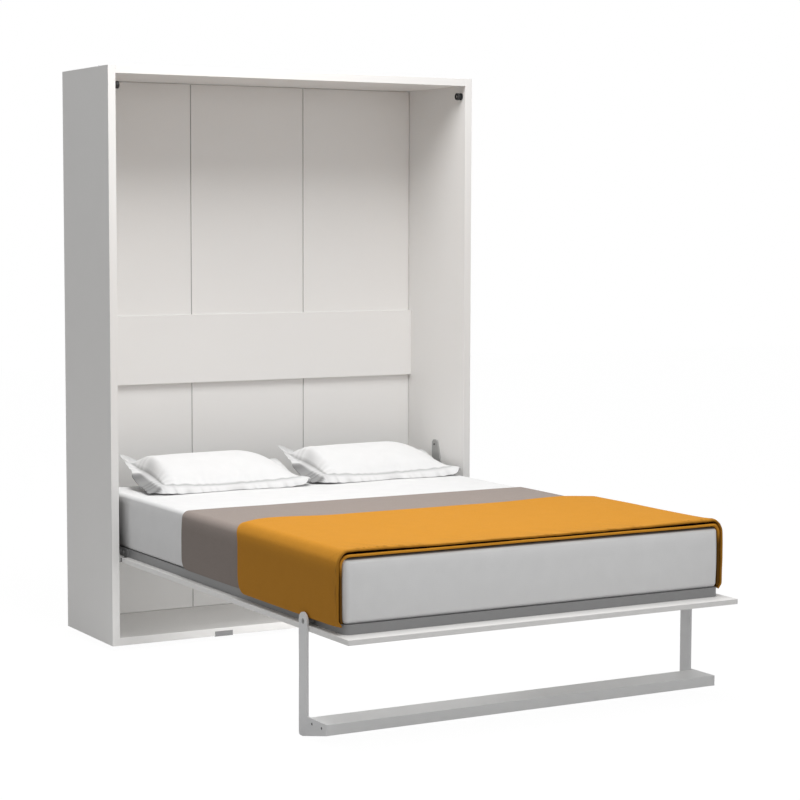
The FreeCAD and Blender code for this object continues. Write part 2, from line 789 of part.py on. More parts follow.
def bed_hinges():
    """The plates on the frame that turn on the pivot pins."""
    low = "panel_top + bed_plate_margin"
    high = "frame_top - bed_plate_margin"
    corner = "hinge_corner_round"
    corners = [
        ("pivot_y - pivot_boss_radius", "pivot_z - pivot_boss_radius", corner),
        ("pivot_y + pivot_boss_radius", "pivot_z - pivot_boss_radius", corner),
        ("pivot_y + bed_plate_shoulder", low, None),
        ("pivot_y + bed_plate_back", low, corner),
        ("pivot_y + bed_plate_back", high, corner),
        ("pivot_y - pivot_boss_radius", high, corner),
    ]
    bolts = []
    for word, side in SIDES:
        plate = side_plate(f"{word}_bed_hinge_body", starts(side, "frame_half", "bed_plate"), "bed_plate",
                           corners)
        holes = [rod_across(side, f"frame_half - {OVERRUN}", f"bed_plate_face + {OVERRUN}", "pivot_y",
                            "pivot_z", "pivot_radius + running_clearance")]
        for share in BED_BOLT_SHARES:
            y = f"pivot_y + {share} * bed_plate_back"
            z = "panel_top + frame_height / 2"
            head = rod_across(side, "bed_plate_face", "bed_plate_face + bolt_head", y, z,
                              "bolt_head_radius")
            shank = rod_across(side, "frame_half - bolt_grip", "bed_plate_face", y, z, "bolt_radius")
            bolts.append(fuse([head, shank]))
            hole = rod_across(side, "frame_half - bolt_grip", "bed_plate_face", y, z,
                              "bolt_radius + hole_clearance")
            holes.append(hole)
            frame_holes[side].append(hole)
        node(f"{word}_bed_hinge_plate", cut(plate, holes))
    node("hinge_plate_bolts", group(bolts))


def leg_pivots():
    """The shouldered studs in the frame that carry the leg."""
    for word, side in SIDES:
        cap_seat = "leg_outer - leg_recess + leg_side_gap"
        end = f"{cap_seat} + leg_cap"
        shoulder_end = "leg_inner - leg_side_gap"
        thread = rod_across(side, "frame_half - leg_pin_grip", "frame_half", "leg_y", "leg_z",
                            "leg_pin_radius")
        flange = rod_across(side, "frame_half", "frame_half + leg_flange", "leg_y", "leg_z",
                            "leg_flange_radius")
        shoulder = rod_across(side, "frame_half", shoulder_end, "leg_y", "leg_z", "leg_shoulder_radius")
        journal = rod_across(side, "frame_half", end, "leg_y", "leg_z", "leg_pin_radius")
        cap = rod_across(side, cap_seat, end, "leg_y", "leg_z", "leg_cap_radius")
        socket = rod_across(side, f"{end} - leg_socket", f"{end} + leg_socket", "leg_y", "leg_z",
                            "leg_socket_radius")
        node(f"{word}_leg_pivot", cut(fuse([thread, flange, shoulder, journal, cap]), [socket]))
        frame_holes[side].append(rod_across(side, "frame_half - leg_pin_grip", "frame_half", "leg_y",
                                            "leg_z", "leg_pin_radius + hole_clearance"))


def slats():
    """Sprung slats across the frame, each in a holder at both ends."""
    strips = []
    holders = {-1: [], 1: []}
    spacing = f"(frame_head - frame_foot - slat_first - slat_last) / {SLAT_COUNT - 1}"
    low = "frame_top - slat_drop - slat_board"
    for index in range(SLAT_COUNT):
        y = f"frame_foot + slat_first + {index} * {spacing}"
        strips.append(box("-frame_inside + holder_depth - holder_grip + holder_fit",
                          f"{y} - slat_width / 2", low,
                          "2 * (frame_inside - holder_depth + holder_grip - holder_fit)", "slat_width",
                          "slat_board"))
        for _, side in SIDES:
            grip = "(holder_wall + holder_fit)"
            cap = box(starts(side, "frame_inside - holder_depth", "holder_depth"),
                      f"{y} - slat_width / 2 - {grip}", f"{low} - {grip}", "holder_depth",
                      f"slat_width + 2 * ({grip})", f"slat_board + 2 * ({grip})")
            pocket = box(starts(side, f"frame_inside - holder_depth - {OVERRUN}",
                                f"holder_grip + {OVERRUN}"),
                         f"{y} - slat_width / 2 - holder_fit", f"{low} - holder_fit",
                         f"holder_grip + {OVERRUN}", "slat_width + 2 * holder_fit",
                         "slat_board + 2 * holder_fit")
            holders[side].append(cut(cap, [pocket]))
    node("slats", group(strips))
    for word, side in SIDES:
        node(f"{word}_slat_holders", group(holders[side]))


# Leg

def leg():
    """The two L-shaped plates and the board between them, with its screws."""
    head, edge = "leg_bar_half - running_clearance", "leg_gap"
    corners = [
        ("leg_y + leg_bar_half", "0", "heel_round"),
        ("leg_y + leg_bar_half", "leg_z + leg_bar_half", head),
        ("leg_y - leg_bar_half", "leg_z + leg_bar_half", head),
        ("leg_y - leg_bar_half", "shelf_top", edge),
        ("shelf_end", "shelf_top", edge),
        ("shelf_end", "shelf_under", edge),
        ("leg_y + leg_bar_half - heel_flat", "0", None),
    ]
    screws = []
    shelf_holes = []
    for word, side in SIDES:
        plate = side_plate(f"{word}_leg_body", starts(side, "leg_inner", "leg_plate"), "leg_plate",
                           corners)
        holes = [rod_across(side, f"leg_inner - {OVERRUN}", f"leg_outer + {OVERRUN}", "leg_y", "leg_z",
                            "leg_pin_radius + running_clearance"),
                 rod_across(side, "leg_outer - leg_recess", f"leg_outer + {OVERRUN}", "leg_y", "leg_z",
                            "leg_recess_radius")]
        for y in ("shelf_end + shelf_screw_edge", "shelf_end + shelf_depth - shelf_screw_edge / 2"):
            z = "shelf_under + shelf_board / 2"
            seat = "leg_outer - screw_head - leg_side_gap"
            head = rod_across(side, seat, "leg_outer - leg_side_gap", y, z, "screw_head_radius")
            shank = rod_across(side, "leg_inner - 2 * screw_grip", seat, y, z, "screw_radius")
            socket = rod_across(side, "leg_outer - leg_side_gap - screw_head / 2",
                                f"leg_outer + {OVERRUN}", y, z, "screw_radius")
            screws.append(cut(fuse([head, shank]), [socket]))
            holes.append(rod_across(side, seat, f"leg_outer + {OVERRUN}", y, z,
                                    "screw_head_radius + hole_clearance"))
            shank_hole = rod_across(side, "leg_inner - 2 * screw_grip - hole_clearance", "leg_outer", y, z,
                                    "screw_radius + hole_clearance")
            holes.append(shank_hole)
            shelf_holes.append(shank_hole)
        node(f"{word}_leg_plate", cut(plate, holes))
    shelf = board("-leg_inner", "shelf_end", "shelf_under", "2 * leg_inner", "shelf_depth", "shelf_board")
    node("shelf_board", cut(shelf, shelf_holes))
    node("leg_screws", group(screws))


# Gas struts

strut_run_y = number("strut_foot_y - strut_top_y")
strut_run_z = number("strut_foot_z - strut_top_z")
strut_length = math.hypot(strut_run_y, strut_run_z)
STRUT_LINE = "sqrt((strut_foot_y - strut_top_y)^2 + (strut_foot_z - strut_top_z)^2)"


def along_strut(side, start, end, radius):
    """A cylinder on the strut's line, between two distances from its upper pin."""
    item = document.addObject("Part::Cylinder", "Rod")
    bind(item, Radius=radius, Height=f"({end}) - ({start})")
    down = FreeCAD.Vector(0, strut_run_y, strut_run_z)
    item.Placement = FreeCAD.Placement(FreeCAD.Vector(), FreeCAD.Rotation(FreeCAD.Vector(0, 0, 1), down))
    item.setExpression("Placement.Rotation.Angle",
                       full("180 deg - atan((strut_top_y - strut_foot_y) / (strut_top_z - strut_foot_z))"))
    item.setExpression("Placement.Base.x", full(f"{side} * strut_lane"))
    share = f"({start}) / {STRUT_LINE}"
    item.setExpression("Placement.Base.y", full(f"strut_top_y + (strut_foot_y - strut_top_y) * {share}"))
    item.setExpression("Placement.Base.z", full(f"strut_top_z + (strut_foot_z - strut_top_z) * {share}"))
    return item


def gas_struts():
    """The cylinder with its eye, the piston rod with its eye, and the lower pin."""
    near = "strut_lane - strut_eye_width / 2"
    far = "strut_lane + strut_eye_width / 2"
    tube_end = "strut_tube_start + strut_tube_length"
    for word, side in SIDES:
        tube = along_strut(side, "strut_tube_start", tube_end, "strut_tube_radius")
        eye = rod_across(side, near, far, "strut_top_y", "strut_top_z", "strut_eye_radius")
        bore = rod_across(side, f"{near} - {OVERRUN}", f"{far} + {OVERRUN}", "strut_top_y",
                          "strut_top_z", "strut_pin_radius + running_clearance")
        room = along_strut(side, "strut_tube_start + strut_tube_cap", f"{tube_end} - strut_guide",
                           "strut_tube_bore")
        guide = along_strut(side, f"{tube_end} - 2 * strut_guide", f"{tube_end} + strut_guide",
                            "strut_rod_radius + running_clearance")
        node(f"{word}_strut_cylinder", cut(fuse([tube, eye]), [bore, room, guide]))

        rod_form = along_strut(side, "strut_piston_start", STRUT_LINE, "strut_rod_radius")
        piston = along_strut(side, "strut_piston_start", "strut_piston_start + strut_piston",
                             "strut_piston_radius")
        foot_eye = rod_across(side, near, far, "strut_foot_y", "strut_foot_z", "strut_eye_radius")
        foot_bore = rod_across(side, f"{near} - {OVERRUN}", f"{far} + {OVERRUN}", "strut_foot_y",
                               "strut_foot_z", "strut_pin_radius + running_clearance")
        node(f"{word}_strut_rod", cut(fuse([rod_form, piston, foot_eye]), [foot_bore]))

        pin = rod_across(side, "bed_plate_face + pivot_side_gap", f"{far} + strut_clip", "strut_foot_y",
                         "strut_foot_z", "strut_pin_radius")
        clip = rod_across(side, f"{far} + running_clearance", f"{far} + strut_clip", "strut_foot_y",
                          "strut_foot_z", "strut_clip_radius")
        node(f"{word}_strut_foot_pin", fuse([pin, clip]))


# Mattress and bedding

def mattress():
    """A block with rounded corners in plan and softly rounded top and bottom edges."""
    body = new_body("mattress_body")
    half = "mattress_width / 2"
    corners = [(f"-{half}", "mattress_foot"), (half, "mattress_foot"), (half, "mattress_head"),
               (f"-{half}", "mattress_head")]
    pad(body, outline(body, "XY_Plane", corners), "mattress_height")
    round_edges(body, over_spots("xy", corners), "mattress_corner")
    round_edges(body, lambda first, last: abs(first.z - last.z) < SLACK, "mattress_round")
    body.setExpression("Placement.Base.z", full("frame_top"))
    node("mattress", body)


def blanket(name, start, length, inner_half, inner_top, side_cloth, top_cloth, inner_round, outer_round):
    """A blanket laid over the mattress with both sides hanging to the frame."""
    body = new_body(f"{name}_body")
    low = "frame_top + soft_gap"
    outer_half = f"({inner_half}) + {side_cloth}"
    outer_top = f"{inner_top} + {top_cloth}"
    corners = [
        (f"-({outer_half})", low), (f"-({outer_half})", outer_top),
        (outer_half, outer_top), (outer_half, low),
        (inner_half, low), (inner_half, inner_top),
        (f"-({inner_half})", inner_top), (f"-({inner_half})", low),
    ]
    feature = pad(body, outline(body, "XZ_Plane", corners), length)
    feature.Reversed = True
    document.recompute()
    round_edges(body, over_spots("xz", [corners[1], corners[2]]), outer_round)
    round_edges(body, over_spots("xz", [corners[5], corners[6]]), inner_round)
    body.setExpression("Placement.Base.y", full(start))
    node(name, body)


def blankets():
    """The taupe blanket, and the orange one over its lower end."""
    blanket("taupe_blanket", "taupe_foot", "taupe_length",
            "mattress_width / 2 + soft_gap", "mattress_top + soft_gap", "taupe_cloth", "taupe_cloth",
            "mattress_round", "mattress_round + taupe_cloth")
    blanket("orange_blanket", "orange_foot", "orange_length",
            "mattress_width / 2 + orange_side_gap", "mattress_top + orange_top_gap", "orange_side",
            "orange_top", "mattress_round + taupe_cloth", "orange_round")


# Shares of a pillow's length, and of its depth and height there: the corners are its widest and
# thinnest places, and the middle is crowned and drawn in.
PILLOW_SHARES = ((0, 1, 0), (0.07, 0.965, 0.45), (0.2, 0.94, 0.83), (0.5, 0.93, 1),
                 (0.8, 0.94, 0.83), (0.93, 0.965, 0.45), (1, 1, 0))


def pillow_section(x, front_y, depth, low, edge_low, edge, high):
    """One slice of a pillow: flat sides at the flange, a shallow belly and a crowned top."""
    middle = front_y + depth / 2
    back_y = front_y + depth
    corners = [FreeCAD.Vector(x, front_y, edge_low), FreeCAD.Vector(x, back_y, edge_low),
               FreeCAD.Vector(x, back_y, edge_low + edge), FreeCAD.Vector(x, front_y, edge_low + edge)]
    belly = Part.Arc(corners[0], FreeCAD.Vector(x, middle, low), corners[1]).toShape()
    crown = Part.Arc(corners[2], FreeCAD.Vector(x, middle, high), corners[3]).toShape()
    return Part.Wire([belly, Part.LineSegment(corners[1], corners[2]).toShape(), crown,
                      Part.LineSegment(corners[3], corners[0]).toShape()])


def pillows():
    """Two pillows side by side at the head, each crowned, with thin flanges."""
    length = number("pillow_length")
    depth = number("pillow_depth")
    edge = number("pillow_edge")
    lift = number("pillow_lift")
    swell = number("pillow_height") - lift - edge
    rest = number("mattress_top + soft_gap")
    middle_y = number("mattress_head + pillow_overhang") - depth / 2
    for word, start in (("left", "-pillow_middle_gap / 2 - pillow_length"), ("right", "pillow_middle_gap / 2")):
        sections = []
        for along, wide, full_share in PILLOW_SHARES:
            width = depth * wide
            low = rest + lift * (1 - full_share) - edge / 8
            high = rest + lift + edge * 9 / 8 + swell * full_share
            sections.append(pillow_section(number(start) + length * along, middle_y - width / 2, width,
                                           low, rest + lift, edge, high))
        pillow = document.addObject("Part::Feature", f"{word}_pillow_form")
        pillow.Shape = Part.makeLoft(sections, True, False)
        lowest = pillow.Shape.optimalBoundingBox().ZMin
        pillow.Placement = FreeCAD.Placement(FreeCAD.Vector(0, 0, rest - lowest), FreeCAD.Rotation())
        node(f"{word}_pillow", pillow)


# Build in the order in which the pieces share their holes

carcass_dowels()
cam_fittings()
stop_buffers()
cabinet_hinges()
glides()
wall_brackets()
cross_rail_screws()
cabinet_boards()
bed_hinges()
leg_pivots()
bed_frame()
bed_panel()
slats()
leg()
gas_struts()
mattress()
blankets()
pillows()

document.recompute()

for item in document.Objects:
    if "Invalid" in item.State or "Error" in item.State:
        raise RuntimeError(f"{item.Label} failed: {item.State}")
for name, item in nodes.items():
    if item.Shape.isNull() or not item.Shape.isValid() or not item.Shape.Solids:
        raise RuntimeError(f"{name} has no valid solid")

os.makedirs("parts", exist_ok=True)
for name, item in nodes.items():
    item.Shape.exportStep(f"parts/{name}.step")
    print(f"{name}: {len(item.Shape.Solids)} solids, {item.Shape.Volume / 1000:.1f} cm3")
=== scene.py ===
"""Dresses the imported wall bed: a white cabinet with a made-up double bed, shown folded down."""

import logging
import math
import random
from dataclasses import dataclass, field
from enum import Enum
from typing import Callable, Iterable, Mapping, Sequence

import bmesh
import bpy
from mathutils import Matrix, Vector, noise


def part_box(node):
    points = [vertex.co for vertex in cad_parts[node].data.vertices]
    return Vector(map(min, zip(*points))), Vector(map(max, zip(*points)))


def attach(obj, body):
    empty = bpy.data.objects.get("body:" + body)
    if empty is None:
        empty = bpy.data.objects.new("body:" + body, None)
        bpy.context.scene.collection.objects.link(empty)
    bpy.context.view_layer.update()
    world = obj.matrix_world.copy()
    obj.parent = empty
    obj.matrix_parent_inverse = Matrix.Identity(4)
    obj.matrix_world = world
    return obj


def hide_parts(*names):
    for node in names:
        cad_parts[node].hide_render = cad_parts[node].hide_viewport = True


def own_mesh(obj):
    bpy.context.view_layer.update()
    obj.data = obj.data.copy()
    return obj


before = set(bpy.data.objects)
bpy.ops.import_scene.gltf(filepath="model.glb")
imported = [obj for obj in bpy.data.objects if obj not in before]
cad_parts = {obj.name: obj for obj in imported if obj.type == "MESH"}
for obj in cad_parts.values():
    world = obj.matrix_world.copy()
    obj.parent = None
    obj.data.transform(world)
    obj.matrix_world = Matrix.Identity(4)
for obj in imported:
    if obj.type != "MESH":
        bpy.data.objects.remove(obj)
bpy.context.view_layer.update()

LOG = logging.getLogger("wall_bed")

Colour = tuple[float, float, float]
Point = tuple[float, float, float]
Triple = tuple[float, float, float]

# The painted shade kept on a mesh's points, which darkens its cloth's colour
PAINTED_SHADE = "fold_shade"
WHITE: Colour = (1.0, 1.0, 1.0)

# Small maths


def smooth_step(low: float, high: float, value: float) -> float:
    """Rise smoothly from 0 at low to 1 at high."""
    share = min(max((value - low) / (high - low), 0.0), 1.0)
    return share * share * (3.0 - 2.0 * share)


def spaced(start: float, end: float, step: float) -> list[float]:
    """Evenly spaced numbers from start to end, about step apart."""
    count = max(1, round(abs(end - start) / step))
    return [start + (end - start) * index / count for index in range(count + 1)]


def joined(*runs: Sequence[float]) -> list[float]:
    """Several runs of numbers end to end, each starting where the last one ended."""
    return [*runs[0], *(value for run in runs[1:] for value in run[1:])]


def past(start: float, value: float) -> float:
    """How far a value lies past start, as a share of the way from start to 1."""
    return min(1.0, max(0.0, (value - start) / (1.0 - start)))


def ripple(x: float, y: float, scale: float, seed: float) -> float:
    """Smooth noise from about -1 to 1 at a place; scale is in waves a metre."""
    return noise.noise(Vector((x * scale, y * scale, seed)))


# Shader graphs


class Signal:
    """A value or colour socket; sums and products of values add Math nodes to its graph."""

    def __init__(self, graph: "Graph", socket: bpy.types.NodeSocket) -> None:
        """Keep the socket with the graph that it belongs to."""
        self.graph = graph
        self.socket = socket

    def maths(self, operation: str, *values: "float | Signal") -> "Signal":
        """Add a Math node.

        Args:
            operation: the Math node's operation.
            values: its inputs in order.

        Returns:
            The node's output.
        """
        return self.graph.node("ShaderNodeMath", {"operation": operation}, dict(enumerate(values)))

    def __add__(self, other: "float | Signal") -> "Signal":
        """This plus other."""
        return self.maths("ADD", self, other)

    __radd__ = __add__

    def __sub__(self, other: "float | Signal") -> "Signal":
        """This less other."""
        return self.maths("SUBTRACT", self, other)

    def __rsub__(self, other: "float | Signal") -> "Signal":
        """Other less this."""
        return self.maths("SUBTRACT", other, self)

    def __mul__(self, other: "float | Signal") -> "Signal":
        """This times other."""
        return self.maths("MULTIPLY", self, other)

    __rmul__ = __mul__

    def __pow__(self, other: "float | Signal") -> "Signal":
        """This to the power of other."""
        return self.maths("POWER", self, other)

    def sine(self) -> "Signal":
        """The sine of this."""
        return self.maths("SINE", self)

    def larger(self, other: "float | Signal") -> "Signal":
        """The larger of this and other."""
        return self.maths("MAXIMUM", self, other)

    def ramp(self, low: float, high: float) -> "Signal":
        """Rise smoothly from 0 at low to 1 at high."""
        return self.graph.node("ShaderNodeMapRange", {"interpolation_type": "SMOOTHSTEP"},
                               {0: self, 1: low, 2: high, 3: 0.0, 4: 1.0})


class Graph:
    """A material's or world's node tree, emptied and ready for new nodes."""

    def __init__(self, owner: bpy.types.Material | bpy.types.World) -> None:
        """Switch the owner to nodes and empty its tree.

        Args:
            owner: the material or world.
        """
        owner.use_nodes = True
        self.tree = owner.node_tree
        self.tree.nodes.clear()

    def node(self, kind: str, settings: Mapping[str, object] | None = None,
             sockets: Mapping[int | str, object] | None = None, output: int | str = 0) -> Signal:
        """Add a node.

        Args:
            kind: the node's type.
            settings: its settings, set before its sockets.
            sockets: values or signals for its inputs, by name or index.
            output: which output to return.

        Returns:
            The chosen output.
        """
        made = self.tree.nodes.new(kind)
        for key, value in (settings or {}).items():
            setattr(made, key, value)
        for key, value in (sockets or {}).items():
            self.feed(made.inputs[key], value)
        return Signal(self, made.outputs[output])

    def feed(self, socket: bpy.types.NodeSocket, value: object) -> None:
        """Link a signal to a socket, or set its value.

        Args:
            socket: the input to feed.
            value: a signal, a number or a colour.
        """
        if isinstance(value, Signal):
            self.tree.links.new(value.socket, socket)
        elif isinstance(value, tuple) and len(value) == 3 and len(socket.default_value) == 4:
            socket.default_value = (*value, 1.0)
        else:
            socket.default_value = value

    def place(self) -> Signal:
        """The object's own coordinates, in metres."""
        return self.node("ShaderNodeTexCoord", output="Object")

    def split(self, vector: Signal) -> list[Signal]:
        """The three parts of a vector."""
        parts = self.node("ShaderNodeSeparateXYZ", None, {0: vector}).socket.node.outputs
        return [Signal(self, part) for part in parts]

    def stretched(self, vector: Signal, scale: Point) -> Signal:
        """A vector times a scale for each axis."""
        return self.node("ShaderNodeVectorMath", {"operation": "MULTIPLY"}, {0: vector, 1: scale})

    def speckle(self, vector: Signal, scale: float, detail: float) -> Signal:
        """Noise from 0 to 1; scale is in features a metre."""
        return self.node("ShaderNodeTexNoise", None, {"Vector": vector, "Scale": scale, "Detail": detail})

    def mix(self, share: "float | Signal", first: "Colour | Signal", second: "Colour | Signal") -> Signal:
        """A colour between two others."""
        return self.node("ShaderNodeMix", {"data_type": "RGBA"}, {0: share, 6: first, 7: second}, output=2)

    def bump(self, height: Signal, distance: float, strength: float) -> Signal:
        """A normal tilted by a height field; distance is the height of 1, in metres."""
        return self.node("ShaderNodeBump", None,
                         {"Height": height, "Distance": distance, "Strength": strength})

    def surface(self, **sockets: object) -> None:
        """End a material in one Principled shader.

        Args:
            sockets: its inputs, named in small letters with underscores.
        """
        names = {key: key.replace("_", " ").title().replace("Ior", "IOR") for key in sockets}
        inputs = {names[key]: value for key, value in sockets.items()}
        self.end("ShaderNodeOutputMaterial", self.node("ShaderNodeBsdfPrincipled", None, inputs))

    def end(self, kind: str, shader: Signal) -> None:
        """End the tree in an output node that takes this shader."""
        output = self.tree.nodes.new(kind)
        self.tree.links.new(shader.socket, output.inputs["Surface"])


# Finishes


@dataclass(frozen=True)
class Finish:
    """A surface finish; its subclasses paint it with nodes."""

    name: str
    colour: Colour
    roughness: float

    def paint(self, graph: Graph) -> None:
        """Fill a material's graph."""
        raise NotImplementedError

    def material(self) -> bpy.types.Material:
        """Find the finish's material, or make it if there is none.

        Returns:
            The material.
        """
        known = bpy.data.materials.get(self.name)
        if known:
            return known
        made = bpy.data.materials.new(self.name)
        self.paint(Graph(made))
        return made

    def shade(self, factor: float) -> Colour:
        """The finish's colour made lighter or darker."""
        return tuple(min(1.0, part * factor) for part in self.colour)


@dataclass(frozen=True)
class FacedBoard(Finish):
    """Melamine-faced board: even colour, a fine pearl texture and faint smudges in its gloss."""

    seam: float = 0.0
    seam_half: float = 0.0017
    pearl: float = 900.0
    relief: float = 0.00006

    def paint(self, graph: Graph) -> None:
        """Two close tones, uneven gloss and a pearl bump, with painted shade in the seams.

        Args:
            graph: the material's graph.
        """
        place = graph.place()
        cloud = graph.speckle(place, 2.5, 3.0)
        pearl = graph.speckle(place, self.pearl, 1.0)
        tone = graph.mix(cloud, self.shade(0.985), self.shade(1.01))
        colour = graph.mix(pearl * 0.25, tone, self.shade(0.93))
        # Painted shade: a dark line along each seam, where the groove between the back boards is shaded.
        if self.seam:
            x = graph.split(place)[0]
            from_seam = (x * x) ** 0.5 - self.seam
            dark = 1.0 - (from_seam * from_seam).ramp(0.0, self.seam_half ** 2)
            colour = graph.mix(dark * 0.75, colour, self.shade(0.2))
        gloss = graph.speckle(place, 14.0, 4.0) * 0.1 + (self.roughness - 0.05)
        graph.surface(base_color=colour, roughness=gloss, normal=graph.bump(pearl, self.relief, 0.35))


@dataclass(frozen=True)
class PowderCoat(Finish):
    """Baked powder paint on steel: a fine orange-peel texture."""

    grain: float = 700.0
    relief: float = 0.00012

    def paint(self, graph: Graph) -> None:
        """Close tones and two sizes of orange peel.

        Args:
            graph: the material's graph.
        """
        place = graph.place()
        peel = graph.speckle(place, self.grain, 2.0)
        swell = graph.speckle(place, self.grain * 0.2, 1.0)
        cloud = graph.speckle(place, 5.0, 3.0)
        tone = graph.mix(cloud, self.shade(0.95), self.shade(1.04))
        colour = graph.mix(peel * 0.3, tone, self.shade(0.85))
        height = peel * 0.6 + swell * 0.4
        graph.surface(base_color=colour, roughness=peel * 0.14 + (self.roughness - 0.07),
                      normal=graph.bump(height, self.relief, 0.5))


@dataclass(frozen=True)
class PlatedSteel(Finish):
    """Zinc or chrome plate with fine turning lines."""

    lines: float = 1800.0
    relief: float = 0.00003

    def paint(self, graph: Graph) -> None:
        """Metal with streaked gloss and faint stains.

        Args:
            graph: the material's graph.
        """
        place = graph.place()
        streak = graph.speckle(graph.stretched(place, (1.0, 0.08, 1.0)), self.lines, 2.0)
        stain = graph.speckle(place, 60.0, 3.0)
        colour = graph.mix(stain, self.shade(0.86), self.shade(1.05))
        graph.surface(base_color=colour, metallic=1.0, roughness=streak * 0.16 + (self.roughness - 0.08),
                      normal=graph.bump(streak, self.relief, 0.4))


@dataclass(frozen=True)
class MouldedPlastic(Finish):
    """Moulded plastic or rubber with a spark-eroded grain and dusty high spots."""

    grain: float = 1200.0
    dust: float = 0.15
    dust_colour: Colour = (0.3, 0.3, 0.29)
    relief: float = 0.00008

    def paint(self, graph: Graph) -> None:
        """Grain, with a little grey dust.

        Args:
            graph: the material's graph.
        """
        place = graph.place()
        grain = graph.speckle(place, self.grain, 2.0)
        dust = graph.speckle(place, 90.0, 4.0).ramp(0.5, 0.8)
        colour = graph.mix(dust * self.dust, self.colour, self.dust_colour)
        graph.surface(base_color=colour, roughness=grain * 0.16 + (self.roughness - 0.08),
                      normal=graph.bump(grain, self.relief, 0.5))


@dataclass(frozen=True)
class Timber(Finish):
    """Plain light wood with its grain along X."""

    dark: Colour = (0.5, 0.34, 0.19)
    stretch: Point = (0.06, 1.0, 1.0)
    bands: float = 45.0
    pores: float = 700.0
    relief: float = 0.0001

    def paint(self, graph: Graph) -> None:
        """Long bands of early and late wood, pores and a satin gloss.

        Args:
            graph: the material's graph.
        """
        place = graph.stretched(graph.place(), self.stretch)
        bands = graph.speckle(place, self.bands, 5.0).ramp(0.35, 0.7)
        pores = graph.speckle(place, self.pores, 1.0).ramp(0.55, 0.75)
        wood = graph.mix(bands * 0.6, self.colour, self.dark)
        colour = graph.mix(pores * 0.3, wood, self.dark)
        graph.surface(base_color=colour, roughness=bands * 0.12 + (self.roughness - 0.04),
                      normal=graph.bump(1.0 - pores, self.relief, 0.5))


@dataclass(frozen=True)
class Cloth(Finish):
    """Woven cloth whose threads follow it round the bed's edges."""

    shadow: Colour = (0.1, 0.1, 0.1)
    thread: float = 0.0016
    sheen: float = 0.2
    relief: float = 0.00025
    mottle: float = 0.35
    specular: float = 0.25

    def paint(self, graph: Graph) -> None:
        """Warp and weft as crossed waves, slubs in the yarn, a soft mottle and the painted shade kept on
        the mesh's points.

        Args:
            graph: the material's graph.
        """
        place = graph.place()
        x, y, z = graph.split(place)
        turns = 2.0 * math.pi / self.thread
        drift = graph.speckle(place, 25.0, 2.0) * 1.5
        warp = ((x + z) * turns + drift).sine() * 0.5 + 0.5
        weft = ((y + z * 0.35) * turns + drift).sine() * 0.5 + 0.5
        weave = warp * weft
        slub = graph.speckle(graph.stretched(place, (1.0, 0.12, 0.6)), 420.0, 3.0)
        cloud = graph.speckle(place, 18.0, 4.0)
        base = graph.mix(cloud, self.shade(0.955), self.shade(1.03))
        # Painted shade: the shade kept on the mesh's points darkens the colour towards a far darker copy
        # of it.
        painted_shade = graph.node("ShaderNodeAttribute", {"attribute_name": PAINTED_SHADE}, None, output="Fac")
        woven = graph.mix(((1.0 - weave) * 0.12 + slub * 0.16) * self.mottle, base, self.shadow)
        colour = graph.mix(painted_shade, woven, self.painted_shade_colour)
        graph.surface(base_color=colour, roughness=slub * 0.1 + (self.roughness - 0.05),
                      specular_ior_level=self.specular, sheen_weight=self.sheen, sheen_roughness=0.5,
                      normal=graph.bump(weave * 0.7 + slub * 0.5, self.relief, 0.6))

    @property
    def painted_shade_colour(self) -> Colour:
        """The colour of full painted shade, a far darker copy of the cloth's colour."""
        return tuple(part * 0.12 for part in self.colour)


class Finishes(Enum):
    """The finishes of this bed, named for what carries them."""

    WHITE_BOARD = FacedBoard("white_faced_board", (0.80, 0.79, 0.775), 0.5)
    BACK_BOARD = FacedBoard("white_back_board", (0.80, 0.79, 0.775), 0.5, seam=0.25273)
    GREY_BOARD = FacedBoard("light_grey_faced_board", (0.76, 0.76, 0.755), 0.5)
    FRAME_COAT = PowderCoat("grey_frame_coat", (0.26, 0.26, 0.262), 0.5)
    HINGE_COAT = PowderCoat("grey_hinge_coat", (0.34, 0.34, 0.335), 0.5)
    LEG_COAT = PowderCoat("light_grey_leg_coat", (0.74, 0.74, 0.745), 0.48)
    STRUT_COAT = PowderCoat("black_strut_coat", (0.02, 0.02, 0.022), 0.35)
    ZINC = PlatedSteel("zinc_plate", (0.56, 0.56, 0.57), 0.36)
    BLACK_STEEL = PlatedSteel("blackened_steel", (0.07, 0.07, 0.072), 0.42)
    CHROME = PlatedSteel("polished_rod_chrome", (0.68, 0.68, 0.7), 0.14, lines=3000.0)
    RUBBER = MouldedPlastic("black_buffer_rubber", (0.008, 0.008, 0.008), 0.6, grain=900.0, dust=0.05)
    PLASTIC = MouldedPlastic("black_moulded_plastic", (0.028, 0.028, 0.03), 0.5)
    SLAT_BIRCH = Timber("birch_slat_layers", (0.66, 0.48, 0.28), 0.42)
    DOWEL_BEECH = Timber("beech_dowel", (0.58, 0.4, 0.24), 0.6)
    MATTRESS_COVER = Cloth("white_mattress_cover", (0.86, 0.86, 0.86), 0.85, shadow=(0.55, 0.55, 0.56),
                           thread=0.0022, sheen=0.1, relief=0.0003, mottle=0.3)
    TAUPE_WEAVE = Cloth("taupe_blanket_weave", (0.355, 0.30, 0.27), 0.9, shadow=(0.13, 0.105, 0.09),
                        thread=0.0024, sheen=0.08, relief=0.0004, mottle=0.8)
    ORANGE_WEAVE = Cloth("orange_blanket_weave", (0.66, 0.295, 0.030), 0.9, shadow=(0.36, 0.12, 0.006),
                         thread=0.0024, sheen=0.0, relief=0.0004, mottle=0.8, specular=0.15)
    PILLOW_COTTON = Cloth("white_pillow_cotton", (0.82, 0.82, 0.82), 0.85, shadow=(0.7, 0.7, 0.71),
                          thread=0.0012, sheen=0.1, relief=0.00015, mottle=0.25)

    @property
    def material(self) -> bpy.types.Material:
        """The material of this finish."""
        return self.value.material()


# Pieces and meshes


